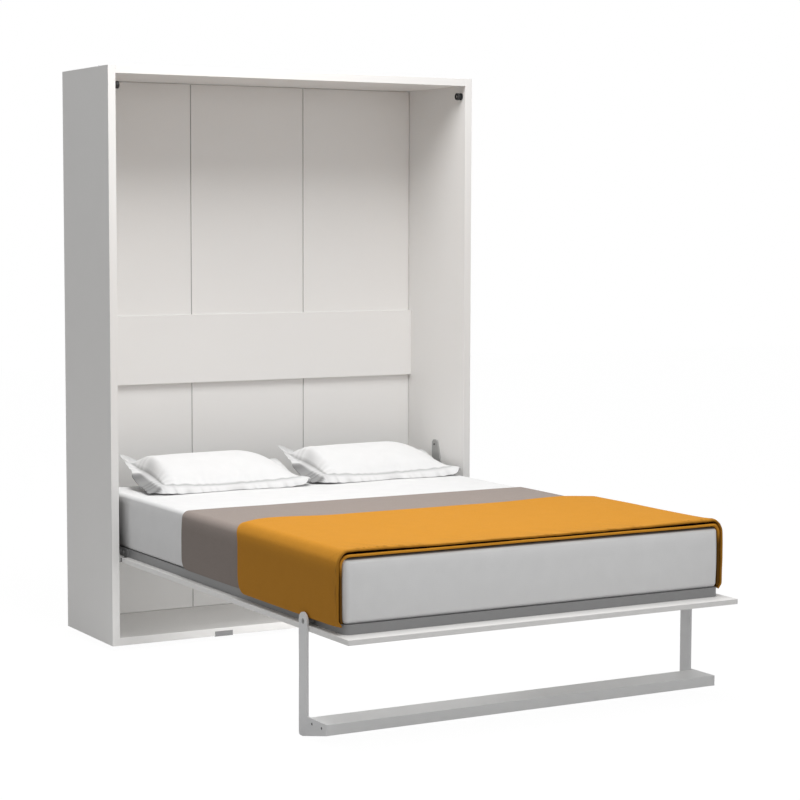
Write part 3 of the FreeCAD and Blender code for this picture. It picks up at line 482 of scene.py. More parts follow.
def dress(finish: Finishes, *nodes: str) -> None:
    """Give CAD nodes a finish.

    Args:
        finish: the finish to give.
        nodes: the names of the CAD nodes.
    """
    for name in nodes:
        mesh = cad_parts[name].data
        mesh.materials.clear()
        mesh.materials.append(finish.material)
        LOG.info("dressed %s in %s", name, finish.value.name)


def in_scene(name: str, data: bpy.types.ID) -> bpy.types.Object:
    """Put a new object in the scene.

    Args:
        name: its name.
        data: its mesh, lamp or camera.

    Returns:
        The object.
    """
    made = bpy.data.objects.new(name, data)
    bpy.context.scene.collection.objects.link(made)
    return made


def keep_shades(mesh: bpy.types.Mesh, shades: Sequence[float]) -> None:
    """Keep on a mesh the painted shade of each of its points, from 0 to 1."""
    mesh.attributes.new(PAINTED_SHADE, "FLOAT", "POINT").data.foreach_set("value", shades)


@dataclass
class SoftPiece:
    """A new piece of the bedding; up to thin, its rim isn't kept even in sharp corners."""

    name: str
    finish: Finishes
    slot: str
    replaces: Sequence[str] = ()
    body: str = "bed"
    thin: float = 0.003

    def install(self, mesh: bpy.types.Mesh, rim: float = 0.0, levels: int = 0) -> bpy.types.Object:
        """Put a mesh in the scene as this piece.

        Args:
            mesh: the piece's mesh, in the row's frame.
            rim: the thickness that a single sheet is given.
            levels: how many times it is subdivided.

        Returns:
            The piece's object.
        """
        mesh.materials.clear()
        mesh.materials.append(self.finish.material)
        for polygon in mesh.polygons:
            polygon.use_smooth = True
        piece = in_scene(self.name, mesh)
        if rim:
            thick = piece.modifiers.new("Thickness", "SOLIDIFY")
            thick.thickness = rim
            thick.offset = 0.0
            thick.use_even_offset = rim > self.thin
        if levels:
            round_off = piece.modifiers.new("Rounding", "SUBSURF")
            round_off.levels = round_off.render_levels = levels
        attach(piece, self.body)
        if self.replaces:
            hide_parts(*self.replaces)
        LOG.info("built %s: %d faces", self.name, len(mesh.polygons))
        return piece


def sheet_mesh(name: str, columns: int, points: Sequence[Point],
               shades: Sequence[float]) -> bpy.types.Mesh:
    """A grid of faces.

    Args:
        name: the mesh's name.
        columns: how many points there are in a row.
        points: the points, row after row.
        shades: the painted shade of each point, from 0 to 1.

    Returns:
        The mesh.
    """
    corners = [start + column for start in range(0, len(points) - columns, columns)
               for column in range(columns - 1)]
    mesh = bpy.data.meshes.new(name)
    mesh.from_pydata(points, [], [(at, at + 1, at + columns + 1, at + columns) for at in corners])
    keep_shades(mesh, shades)
    return mesh


def block_mesh(name: str, axes: Sequence[Sequence[float]], moved: Callable[[Vector], Vector],
               shade: Callable[[Vector], float]) -> bpy.types.Mesh:
    """The closed surface of a block of grid points, each then moved.

    Args:
        name: the mesh's name.
        axes: the grid's x, y and z values.
        moved: gives the place that a surface point of the block goes to.
        shade: gives the painted shade of a moved point, from 0 to 1.

    Returns:
        The mesh.
    """
    made = bmesh.new()
    ends = [len(values) - 1 for values in axes]
    points: dict[tuple[int, ...], bmesh.types.BMVert] = {}

    def vertex(key: tuple[int, ...]) -> bmesh.types.BMVert:
        """Find the block's vertex at a place of the grid, or make it if there is none.

        Args:
            key: the place's numbers along the three axes.

        Returns:
            The vertex.
        """
        if key not in points:
            points[key] = made.verts.new(moved(Vector([axes[axis][key[axis]] for axis in range(3)])))
        return points[key]

    for fixed in range(3):
        first, second = [axis for axis in range(3) if axis != fixed]
        for end in (0, ends[fixed]):
            for i in range(ends[first]):
                for j in range(ends[second]):
                    ring = []
                    for step_i, step_j in ((0, 0), (1, 0), (1, 1), (0, 1)):
                        key = [0, 0, 0]
                        key[fixed], key[first], key[second] = end, i + step_i, j + step_j
                        ring.append(vertex(tuple(key)))
                    made.faces.new(ring)
    bmesh.ops.recalc_face_normals(made, faces=made.faces)
    mesh = bpy.data.meshes.new(name)
    made.to_mesh(mesh)
    made.free()
    keep_shades(mesh, [shade(vertex.co) for vertex in mesh.vertices])
    return mesh


# The cabinet, frame, leg and struts


def pair(*names: str) -> list[str]:
    """The left and the right node of each name."""
    return [f"{side}_{name}" for name in names for side in ("left", "right")]


@dataclass
class Cabinet:
    """The white upright cabinet with its fittings."""

    def build(self) -> None:
        """Give each board and fitting its finish."""
        dress(Finishes.WHITE_BOARD, *pair("side_panel"), "top_panel", "bottom_panel", "cross_rail")
        dress(Finishes.BACK_BOARD, "back_board_left", "back_board_middle", "back_board_right")
        dress(Finishes.HINGE_COAT, *pair("cabinet_hinge_plate"))
        dress(Finishes.FRAME_COAT, *pair("glide_bracket"))
        dress(Finishes.RUBBER, *pair("stop_buffer"))
        dress(Finishes.PLASTIC, "levelling_glides", "pivot_bushes")
        dress(Finishes.DOWEL_BEECH, "carcass_dowels")
        dress(Finishes.BLACK_STEEL, "hinge_plate_screws")
        dress(Finishes.ZINC, *pair("pivot_pin", "strut_top_pin", "wall_bracket"), "cam_fittings",
              "buffer_screws", "glide_bracket_screws", "wall_bracket_screws", "cross_rail_screws")


@dataclass
class BedFrame:
    """The closed front, the steel frame on it and the slats."""

    def build(self) -> None:
        """Give the panel, rails, slats and fittings their finishes."""
        dress(Finishes.WHITE_BOARD, "bed_panel")
        dress(Finishes.FRAME_COAT, *pair("frame_rail", "bed_hinge_plate"), "head_frame_rail",
              "foot_frame_rail", "cross_bars")
        dress(Finishes.ZINC, "panel_screws", "hinge_plate_bolts")
        dress(Finishes.HINGE_COAT, *pair("leg_pivot"))
        dress(Finishes.SLAT_BIRCH, "slats")
        dress(Finishes.PLASTIC, *pair("slat_holders"))


@dataclass
class Leg:
    """The leg that becomes a shelf."""

    def build(self) -> None:
        """Give the plates, the board and the screws their finishes."""
        dress(Finishes.LEG_COAT, *pair("leg_plate"))
        dress(Finishes.GREY_BOARD, "shelf_board")
        dress(Finishes.BLACK_STEEL, "leg_screws")


@dataclass
class Struts:
    """The two gas struts."""

    def build(self) -> None:
        """Give the cylinders, rods and lower pins their finishes."""
        dress(Finishes.STRUT_COAT, *pair("strut_cylinder"))
        dress(Finishes.CHROME, *pair("strut_rod"))
        dress(Finishes.ZINC, *pair("strut_foot_pin"))


# The bedding


@dataclass
class Mattress:
    """The sprung mattress in its fitted white cover.

    Each of waves is a number of features a metre, a seed and a height. Depths are measured down from
    the top. The cover gets painted shade: under the blankets' foot edge, as hem_shade; darker towards
    the bottom of its sides, where each of side_shades is a shade and the depths where it starts and
    ends; and where a side enters the cabinet, as gap_shade between gap_y and gap_depth.
    """

    plan_radius: float = 0.018
    edge_radius: float = 0.015
    arc_steps: int = 8
    step: float = 0.022
    overhang: float = 0.009
    bulge: float = 0.004
    bulge_from: float = 0.9
    waves: Sequence[Triple] = ((6.0, 3.1, 0.0006), (17.0, 8.2, 0.0003))
    hem_depth: float = 0.006
    hem_reach: tuple[float, float] = (0.03, 0.02)
    hem_shade: float = 0.9
    gap_y: tuple[float, float] = (0.65, 0.75)
    gap_depth: tuple[float, float] = (0.01, 0.03)
    gap_shade: float = 0.68
    side_shades: Sequence[Triple] = ((0.08, 0.008, 0.05), (0.06, 0.08, 0.1955))

    def __post_init__(self) -> None:
        """Take the block's place and size from the CAD."""
        self.low, self.high = (Vector(corner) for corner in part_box("mattress"))
        self.middle = (self.low + self.high) / 2
        half = (self.high - self.low) / 2
        self.inner = Vector((half.x + self.overhang - self.bulge, half.y - self.bulge, half.z))

    def build(self) -> None:
        """Round the CAD block's corners and edges and let the cover swell a little."""
        wide, length, height = self.inner
        axes = [self.grid(wide, self.plan_radius, 2 * self.step),
                self.grid(length, self.plan_radius, 2 * self.step),
                self.grid(height, self.edge_radius, self.step)]
        piece = SoftPiece("mattress_in_cover", Finishes.MATTRESS_COVER, "mattress_cloth", ("mattress",))
        # The mesh keeps each point's painted shade, for the cover's finish to darken by.
        made = piece.install(block_mesh(piece.name, axes, self.swollen, self.shade))

    def grid(self, size: float, radius: float, step: float) -> list[float]:
        """Grid values along one axis.

        Args:
            size: half the block's size along it.
            radius: the radius of its rounded ends, where the values are dense.
            step: the step between them.

        Returns:
            The values in order.
        """
        flat = size - radius
        fine = radius / self.arc_steps
        return joined(spaced(-size, -flat, fine), spaced(-flat, flat, step), spaced(flat, size, fine))

    def past_corner(self, point: Vector) -> list[float]:
        """How far a point lies past the middle of a plan corner's arc, along x and y."""
        return [max(0.0, abs(point[axis]) - (self.inner[axis] - self.plan_radius)) for axis in (0, 1)]

    def rounded(self, point: Vector) -> Vector:
        """Round the block's corners, and then its top and bottom edges.

        Args:
            point: a point of the plain block's surface, about its middle; it is moved in place.

        Returns:
            The same point.
        """
        over = self.past_corner(point)
        for axis in (0, 1):
            if over[axis]:
                kept = over[axis] * max(over) / math.hypot(*over)
                point[axis] = math.copysign(self.inner[axis] - self.plan_radius + kept, point[axis])
        over = self.past_corner(point)
        length = math.hypot(*over)
        gaps = [self.inner[axis] - abs(point[axis]) for axis in (0, 1)]
        outward = Vector((0.0, 0.0, 0.0))
        if length > 0:
            inset = self.plan_radius - length
            outward.xy = [math.copysign(over[axis], point[axis]) / length for axis in (0, 1)]
        else:
            inset = min(gaps)
            across = gaps.index(inset)
            outward[across] = math.copysign(1.0, point[across])
        rise = abs(point.z) - (self.inner.z - self.edge_radius)
        near = self.edge_radius - inset
        if rise > 0 and near > 0:
            scale = max(rise, near) / math.hypot(rise, near)
            point -= outward * near * (1.0 - scale)
            point.z = math.copysign(self.inner.z - self.edge_radius + rise * scale, point.z)
        return point

    def swollen(self, point: Vector) -> Vector:
        """Round a point and add the cover's slight swell and soft waves.

        Args:
            point: a point of the plain block's surface, about its middle.

        Returns:
            Its place on the bed.
        """
        placed = self.rounded(point)
        shares = [abs(placed[axis]) / self.inner[axis] for axis in (0, 1)]
        across = 0 if shares[0] > shares[1] else 1
        swell = self.bulge * smooth_step(self.bulge_from, 1.0, max(shares))
        placed[across] += math.copysign(swell * (1.0 - (placed.z / self.inner.z) ** 2), placed[across])
        if abs(placed.z) > self.inner.z * self.bulge_from:
            placed.z -= abs(sum(ripple(placed.x, placed.y, scale, seed) * height
                                for scale, seed, height in self.waves))
        return placed + self.middle

    def shade(self, point: Vector) -> float:
        """The painted shade at a point under the blankets' foot edge, in the cabinet or low on a side.

        Args:
            point: the point on the bed.

        Returns:
            Its shade, from 0 to 1.
        """
        depth, from_foot = self.high.z - point.z, point.y - self.low.y
        hem = smooth_step(*self.hem_reach, from_foot)
        hem *= smooth_step(self.hem_depth, self.hem_depth / 2, depth)
        gap = smooth_step(*self.gap_y, point.y) * smooth_step(*self.gap_depth, depth)
        side = sum(shade * smooth_step(start, end, depth) for shade, start, end in self.side_shades)
        return max(self.hem_shade * hem, self.gap_shade * gap, side)


@dataclass
class Drape:
    """A sheet of cloth laid over the mattress with both sides hanging to the frame.

    A place on it is given as across, the distance along the cloth from the bed's middle line, and
    from_foot, the distance from its foot edge. Sizes are in metres, shades from 0 to 1, and a share
    is of half_width. A reach or fade is the distance over which something dies away. The shades are
    painted shade kept on the mesh's points: full from covered_from on, where another layer hides it,
    and less on the hanging sides, at the foot edge and along the creases.
    """

    name: str
    finish: Finishes
    slot: str
    replaces: Sequence[str]
    half_width: float
    top: float
    bottom: float
    foot: float
    head: float
    radius: float
    thickness: float
    rests_on: Sequence[str] = ("mattress_in_cover",)
    seed: float = 1.0
    head_sweep: float = 0.0
    sweep_share: tuple[float, float] = (0.88, 1.02)
    head_corner: float = 0.04
    head_drop: float = 0.0
    drop_reach: float = 0.05
    side_lift: float = 0.0
    outer_share: tuple[float, float] = (0.45, 0.8)
    foot_rise: float = 0.0
    rise_reach: float = 0.03
    foot_curl: float = 0.0
    curl_reach: float = 0.012
    curl_inside: float = 0.25
    side_tuck: float = 0.0
    corner_tuck: float = 0.0
    tuck_reach: tuple[float, float] = (0.02, 0.03)
    broad_fold: float = 0.0012
    hanging_fold: float = 0.0014
    small_fold: float = 0.0007
    foot_wave: float = 0.0
    foot_reach: float = 0.02
    crease: float = 0.0
    crease_waves: tuple[float, float] = (38.28, 21.12)
    crease_drift: float = 0.8
    crease_sharpness: float = 3.0
    crease_rarity: tuple[float, float] = (-0.55, 0.15)
    crease_width: float = 0.006
    crease_reach: float = 0.035
    stroke_shade: float = 0.6
    stroke_reach: float = 0.05
    covered_from: float = 9.0
    hang_shade: float = 0.0
    hang_fade: float = 0.05
    edge_shade: float = 0.0
    edge_fade: float = 0.014
    step: float = 0.011
    arc_steps: int = 14
    hem_band: float = 0.03
    side_steps: tuple[float, float] = (0.018, 0.005)
    foot_bands: tuple[float, float] = (0.012, 0.10)
    head_band: float = 0.06
    along_steps: tuple[float, float, float, float] = (0.003, 0.006, 0.02, 0.008)

    @property
    def length(self) -> float:
        """The cloth's length from its foot edge to its head edge."""
        return self.head - self.foot

    @property
    def flat_half(self) -> float:
        """Half the width of the flat top."""
        return self.half_width - self.radius

    @property
    def bend_end(self) -> float:
        """Where the bend ends, along the cloth from the bed's middle line."""
        return self.flat_half + math.pi / 2 * self.radius

    @property
    def reach(self) -> float:
        """The cloth's length from the bed's middle line to its hanging edge."""
        return self.bend_end + (self.top - self.radius - self.bottom)

    def build(self) -> None:
        """Make the sheet and lay it on the bed."""
        columns, rows = self.lines()
        places = [(across, from_foot) for from_foot in rows for across in columns]
        mesh = sheet_mesh(self.name, len(columns), [self.point(*place) for place in places],
                          [self.shade(*place) for place in places])
        piece = SoftPiece(self.name, self.finish, self.slot, self.replaces)
        made = piece.install(mesh, rim=self.thickness, levels=1)
        2 * self.reach
        self.length
        list(self.rests_on)

    def lines(self) -> tuple[list[float], list[float]]:
        """Choose the grid, dense in the bends and at the edges.

        Returns:
            The places across the cloth and those along it from the foot edge.
        """
        hem_start = self.reach - self.hem_band
        side = joined(spaced(self.flat_half, self.bend_end, self.radius * math.pi / self.arc_steps),
                      spaced(self.bend_end, hem_start, self.side_steps[0]),
                      spaced(hem_start, self.reach, self.side_steps[1]))
        columns = joined([-value for value in reversed(side)],
                         spaced(-self.flat_half, self.flat_half, self.step), side)
        stops = (0.0, *self.foot_bands, self.length - self.head_band, self.length)
        rows = joined(*(spaced(*run) for run in zip(stops, stops[1:], self.along_steps)))
        return columns, rows

    def profile(self, across: float) -> tuple[float, float, float, float]:
        """The cloth's section.

        Args:
            across: the place across the cloth.

        Returns:
            X, Z and the section's outward normal in X and Z.
        """
        side = math.copysign(1.0, across)
        turned = (abs(across) - self.flat_half) / self.radius
        if turned <= 0:
            return across, self.top, 0.0, 1.0
        if turned <= math.pi / 2:
            out, up = math.sin(turned), math.cos(turned)
            x, z = self.flat_half + self.radius * out, self.top - self.radius * (1 - up)
            return side * x, z, side * out, up
        hanging = (turned - math.pi / 2) * self.radius
        return side * self.half_width, self.top - self.radius - hanging, side, 0.0

    def ridge(self, across: float, from_foot: float) -> float:
        """The sharp slanted creases at the foot edge.

        Args:
            across: the place across the cloth.
            from_foot: the place along it.

        Returns:
            Their height, from 0 to 1.
        """
        slant = across * self.crease_waves[0] + from_foot * self.crease_waves[1]
        slant += self.crease_drift * ripple(across, from_foot, 4.0, self.seed)
        wave = noise.noise(Vector((slant, from_foot * 3.0, self.seed)))
        rarity = smooth_step(*self.crease_rarity, noise.noise(Vector((across * 7.0, 3.0, self.seed))))
        return max(0.0, 1.0 - abs(wave) * self.crease_sharpness) ** 2 * rarity

    def folds(self, across: float, from_foot: float) -> float:
        """How far the folds and creases stand out.

        Args:
            across: the place across the cloth.
            from_foot: the place along it.

        Returns:
            The distance outward.
        """
        hang = smooth_step(self.flat_half, self.reach, abs(across))
        out = ripple(across, from_foot, 2.2, self.seed) * self.broad_fold * hang
        out += ripple(across * 0.35, from_foot, 9.0, self.seed + 4.0) * self.hanging_fold * hang * hang
        out += ripple(across, from_foot, 5.0, self.seed + 9.0) * self.small_fold
        if self.crease:
            raised = self.ridge(across, from_foot) * smooth_step(-0.004, 0.012, from_foot)
            out += raised * self.crease * math.exp(-from_foot / self.crease_reach) * (1.0 - 0.7 * hang)
        return out

    def shade(self, across: float, from_foot: float) -> float:
        """The painted shade where the cloth is covered, hangs, ends or is creased.

        Args:
            across: the place across the cloth.
            from_foot: the place along it.

        Returns:
            The deepest of these shades.
        """
        hang_start = self.flat_half + self.radius
        # Painted shade: full under another layer, then on the hanging sides, at the foot edge and in dark
        # strokes along the creases.
        shades = [smooth_step(self.covered_from, self.covered_from + 0.006, from_foot),
                  self.hang_shade * smooth_step(hang_start, hang_start + self.hang_fade, abs(across)),
                  self.edge_shade * smooth_step(self.edge_fade, 0.0, from_foot)]
        if self.crease:
            slope = self.ridge(across, from_foot) - self.ridge(across + self.crease_width, from_foot)
            stroke = min(self.stroke_shade, max(0.0, slope) * 2.0) * smooth_step(0.0, 0.010, from_foot)
            shades.append(stroke * math.exp(-from_foot / self.stroke_reach))
        return max(shades)

    def point(self, across: float, from_foot: float) -> Point:
        """Where a place of the cloth lies on the bed.

        Args:
            across: the place across the cloth.
            from_foot: the place along it.

        Returns:
            Its point.
        """
        edge = self.reach - abs(across)
        half = self.half_width
        swept = smooth_step(self.sweep_share[0] * half, self.sweep_share[1] * half, abs(across))
        outer = smooth_step(self.outer_share[0] * half, self.outer_share[1] * half, abs(across))
        hang = smooth_step(self.flat_half, self.flat_half + self.radius, abs(across))
        near_foot = math.exp(-from_foot / self.foot_reach)
        back = self.head_sweep * swept
        if edge < self.head_corner:
            back += self.head_corner - math.sqrt(self.head_corner ** 2 - (self.head_corner - edge) ** 2)
        wave = ripple(across, 0.0, 7.0, self.seed + 5.0) + 0.6 * ripple(across, 0.0, 19.0, self.seed + 6.0)
        wave *= near_foot * self.foot_wave
        curl = self.curl_inside + (1.0 - self.curl_inside) * outer
        lift = self.side_lift * outer + self.foot_rise * math.exp(-from_foot / self.rise_reach)
        lift -= self.head_drop * smooth_step(self.drop_reach, 0.0, self.length - from_foot)
        lift -= self.foot_curl * curl * smooth_step(self.curl_reach, 0.0, from_foot)
        out = self.folds(across, from_foot) + 0.6 * wave + lift * (1.0 - hang)
        tuck = self.corner_tuck * smooth_step(self.tuck_reach[0], 0.0, edge)
        tuck *= math.exp(-from_foot / self.tuck_reach[1])
        x, z, normal_x, normal_z = self.profile(across)
        y = self.foot + from_foot - back * (from_foot / self.length) ** 2 - wave
        return x + normal_x * (out - tuck), y + self.side_tuck * hang * near_foot, z + normal_z * out


@dataclass
class Blankets:
    """The taupe blanket, and the orange one, folded double, over its foot end.

    A blanket's gaps are its distances from the mattress's side and from its top.
    """

    over_rail: float = 0.0012
    taupe_gap: float = 0.003
    under_gaps: tuple[float, float] = (0.005, 0.0045)
    upper_gaps: tuple[float, float] = (0.016, 0.017)
    taupe_sweep: float = -0.007
    orange_head: float = -0.242
    orange_sweep: float = 0.096
    sweep_share: tuple[float, float] = (0.80, 1.06)
    orange_below: float = 0.007

    def build(self) -> None:
        """Lay the taupe blanket, then the two layers of the orange one."""
        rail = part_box("left_frame_rail")[1][2]
        half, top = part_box("mattress")[1][0] + Mattress.overhang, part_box("mattress")[1][2]
        taupe_low, taupe_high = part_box("taupe_blanket")
        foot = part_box("orange_blanket")[0][1]
        Drape("taupe_blanket_sheet", Finishes.TAUPE_WEAVE, "taupe_cloth", ("taupe_blanket",),
              half_width=half + self.taupe_gap, top=top + self.taupe_gap,
              bottom=rail + self.over_rail, foot=taupe_low[1] - 0.02, head=taupe_high[1] + 0.004,
              radius=0.026, thickness=0.004, head_sweep=self.taupe_sweep, sweep_share=(1.0, 1.1),
              head_corner=0.042, hang_shade=0.32, seed=2.5).build()
        Drape("orange_blanket_under_layer", Finishes.ORANGE_WEAVE, "orange_cloth", (),
              half_width=half + self.under_gaps[0], top=top + self.under_gaps[1],
              bottom=rail + 0.003, foot=foot - 0.002,
              head=self.orange_head - 0.11, radius=0.026, thickness=0.0085, head_sweep=self.orange_sweep,
              sweep_share=self.sweep_share, head_corner=0.03, foot_rise=0.005, rise_reach=0.02,
              side_tuck=0.008, corner_tuck=0.004, hang_shade=0.92, foot_wave=0.0012, covered_from=0.009,
              seed=6.5).build()
        Drape("orange_blanket_upper_layer", Finishes.ORANGE_WEAVE, "orange_cloth", ("orange_blanket",),
              half_width=half + self.upper_gaps[0], top=top + self.upper_gaps[1],
              bottom=rail - self.orange_below,
              foot=foot + 0.002, head=self.orange_head, radius=0.034, thickness=0.006,
              head_sweep=self.orange_sweep, sweep_share=self.sweep_share, head_corner=0.055,
              head_drop=0.0075, side_lift=0.006, foot_rise=0.0045, rise_reach=0.05, foot_curl=0.005,
              corner_tuck=0.013, crease=0.0036, hang_shade=0.29, edge_shade=0.42, foot_wave=0.0022,
              step=0.006, seed=9.5, rests_on=("orange_blanket_under_layer", "taupe_blanket_sheet")).build()


@dataclass
class PillowBag:
    """A pillow in a flanged case: the bag is filled by a pressure simulation."""

    length: float = 0.605
    width: float = 0.395
    flange: float = 0.044
    step: float = 0.0095
    loft: float = 0.03
    under_share: float = 0.6
    jitter: float = 0.0006
    quick_loft: float = 3.0
    pressure: float = 5.0
    frames: int = 40

    def flat_case(self) -> bpy.types.Object:
        """Sew the case flat, with two layers inside the seam and one outside it.

        Returns:
            The case, with its layers inside the seam as the group "bag".
        """
        whole_x, whole_y = self.length + 2 * self.flange, self.width + 2 * self.flange
        columns, rows, seam = (round(size / self.step) for size in (whole_x, whole_y, self.flange))
        step_x, step_y = whole_x / columns, whole_y / rows
        wobble = random.Random(7)
        made = bmesh.new()
        layers: tuple[dict, dict] = ({}, {})
        for i in range(columns + 1):
            for j in range(rows + 1):
                u = (i - seam) / (columns - 2 * seam)
                v = (j - seam) / (rows - 2 * seam)
                inside = 0 < u < 1 and 0 < v < 1
                arch = math.sqrt(math.sin(math.pi * u) * math.sin(math.pi * v)) if inside else 0.0
                rise = self.loft * arch
                x = (i - columns / 2) * step_x
                y = (j - rows / 2) * step_y
                upper = made.verts.new((x, y, rise + wobble.uniform(-self.jitter, self.jitter)))
                layers[0][i, j] = upper
                layers[1][i, j] = made.verts.new((x, y, -self.under_share * rise)) if inside else upper
        for i in range(columns):
            for j in range(rows):
                corners = ((i, j), (i + 1, j), (i + 1, j + 1), (i, j + 1))
                made.faces.new([layers[0][corner] for corner in corners])
                if seam <= i < columns - seam and seam <= j < rows - seam:
                    made.faces.new([layers[1][corner] for corner in reversed(corners)])
        made.verts.index_update()
        bag = {vertex.index for layer in layers for (i, j), vertex in layer.items()
               if seam <= i <= columns - seam and seam <= j <= rows - seam}
        mesh = bpy.data.meshes.new("pillow_case")
        made.to_mesh(mesh)
        made.free()
        case = in_scene("pillow_case", mesh)
        case.vertex_groups.new(name="bag").add(sorted(bag), 1.0, "REPLACE")
        return case

    def fill(self) -> tuple[bpy.types.Mesh, list[tuple[float, float]]]:
        """Blow the case up.

        Returns:
            Its mesh, and its points' places in the flat case.
        """
        case = self.flat_case()
        flat = [(vertex.co.x, vertex.co.y) for vertex in case.data.vertices]
        self.simulate(case)
        mesh = case.data
        bpy.data.objects.remove(case)
        return mesh, flat

    def simulate(self, case: bpy.types.Object) -> None:
        """Run the cloth simulation and keep its last step as the mesh.

        Args:
            case: the flat case.
        """
        cloth = case.modifiers.new("Filling", "CLOTH")
        settings = cloth.settings
        settings.quality = 5
        settings.mass = 0.3
        settings.tension_stiffness = settings.compression_stiffness = 22.0
        settings.shear_stiffness = 8.0
        settings.bending_stiffness = 0.35
        settings.air_damping = 1.0
        settings.use_pressure = True
        settings.uniform_pressure_force = self.pressure
        settings.vertex_group_pressure = "bag"
        settings.effector_weights.gravity = 0.0
        cloth.collision_settings.use_collision = False
        cloth.point_cache.frame_end = self.frames
        for number in range(1, self.frames + 1):
            bpy.context.scene.frame_set(number)
        shaped = case.evaluated_get(bpy.context.evaluated_depsgraph_get())
        filled = bpy.data.meshes.new_from_object(shaped)
        case.modifiers.remove(cloth)
        case.data = filled
        bpy.context.scene.frame_set(1)


@dataclass(frozen=True)
class FlangeCorner:
    """One turned corner of a case's flange: its reach, its tip's lift and how far that curls inwards."""

    side_x: float
    side_y: float
    reach: float
    lift: float
    curl: float

    def move(self, point: Vector, half: Vector) -> None:
        """Lift and curl a point of the corner.

        Args:
            point: a point of the case, about the middle of its underside, which is moved.
            half: half the case's size.
        """
        share = (smooth_step(half.x - self.reach, half.x, point.x * self.side_x)
                 * smooth_step(half.y - self.reach, half.y, point.y * self.side_y))
        point.z += self.lift * share
        point.x -= self.side_x * self.curl * share * share
        point.y -= self.side_y * self.curl * share * share


class CasePlace:
    """A place in a flat pillow case.

    u and v are shares of half the case's length and width, from -1 to 1, v towards the head; body_u
    and body_v are the same within the seam. outward rises from 0 at the seam to 1 at the flange's
    edge, and folded is 1 where the flange's left side is folded.
    """

    def __init__(self, x: float, y: float, bag: PillowBag) -> None:
        """Measure the place.

        Args:
            x: its distance from the case's middle along the case.
            y: its distance from the middle across the case.
            bag: the case.
        """
        half_x, half_y = bag.length / 2, bag.width / 2
        self.u, self.v = x / (half_x + bag.flange), y / (half_y + bag.flange)
        self.body_u = max(-1.0, min(1.0, x / half_x))
        self.body_v = max(-1.0, min(1.0, y / half_y))
        self.past_seam = max(abs(x) - half_x, abs(y) - half_y)
        self.outward = min(max(self.past_seam / bag.flange, 0.0), 1.0)
        self.on_side = abs(self.u) > abs(self.v)
        self.folded = smooth_step(0.40, 0.05, self.v) if self.on_side and self.u < 0 else 0.0


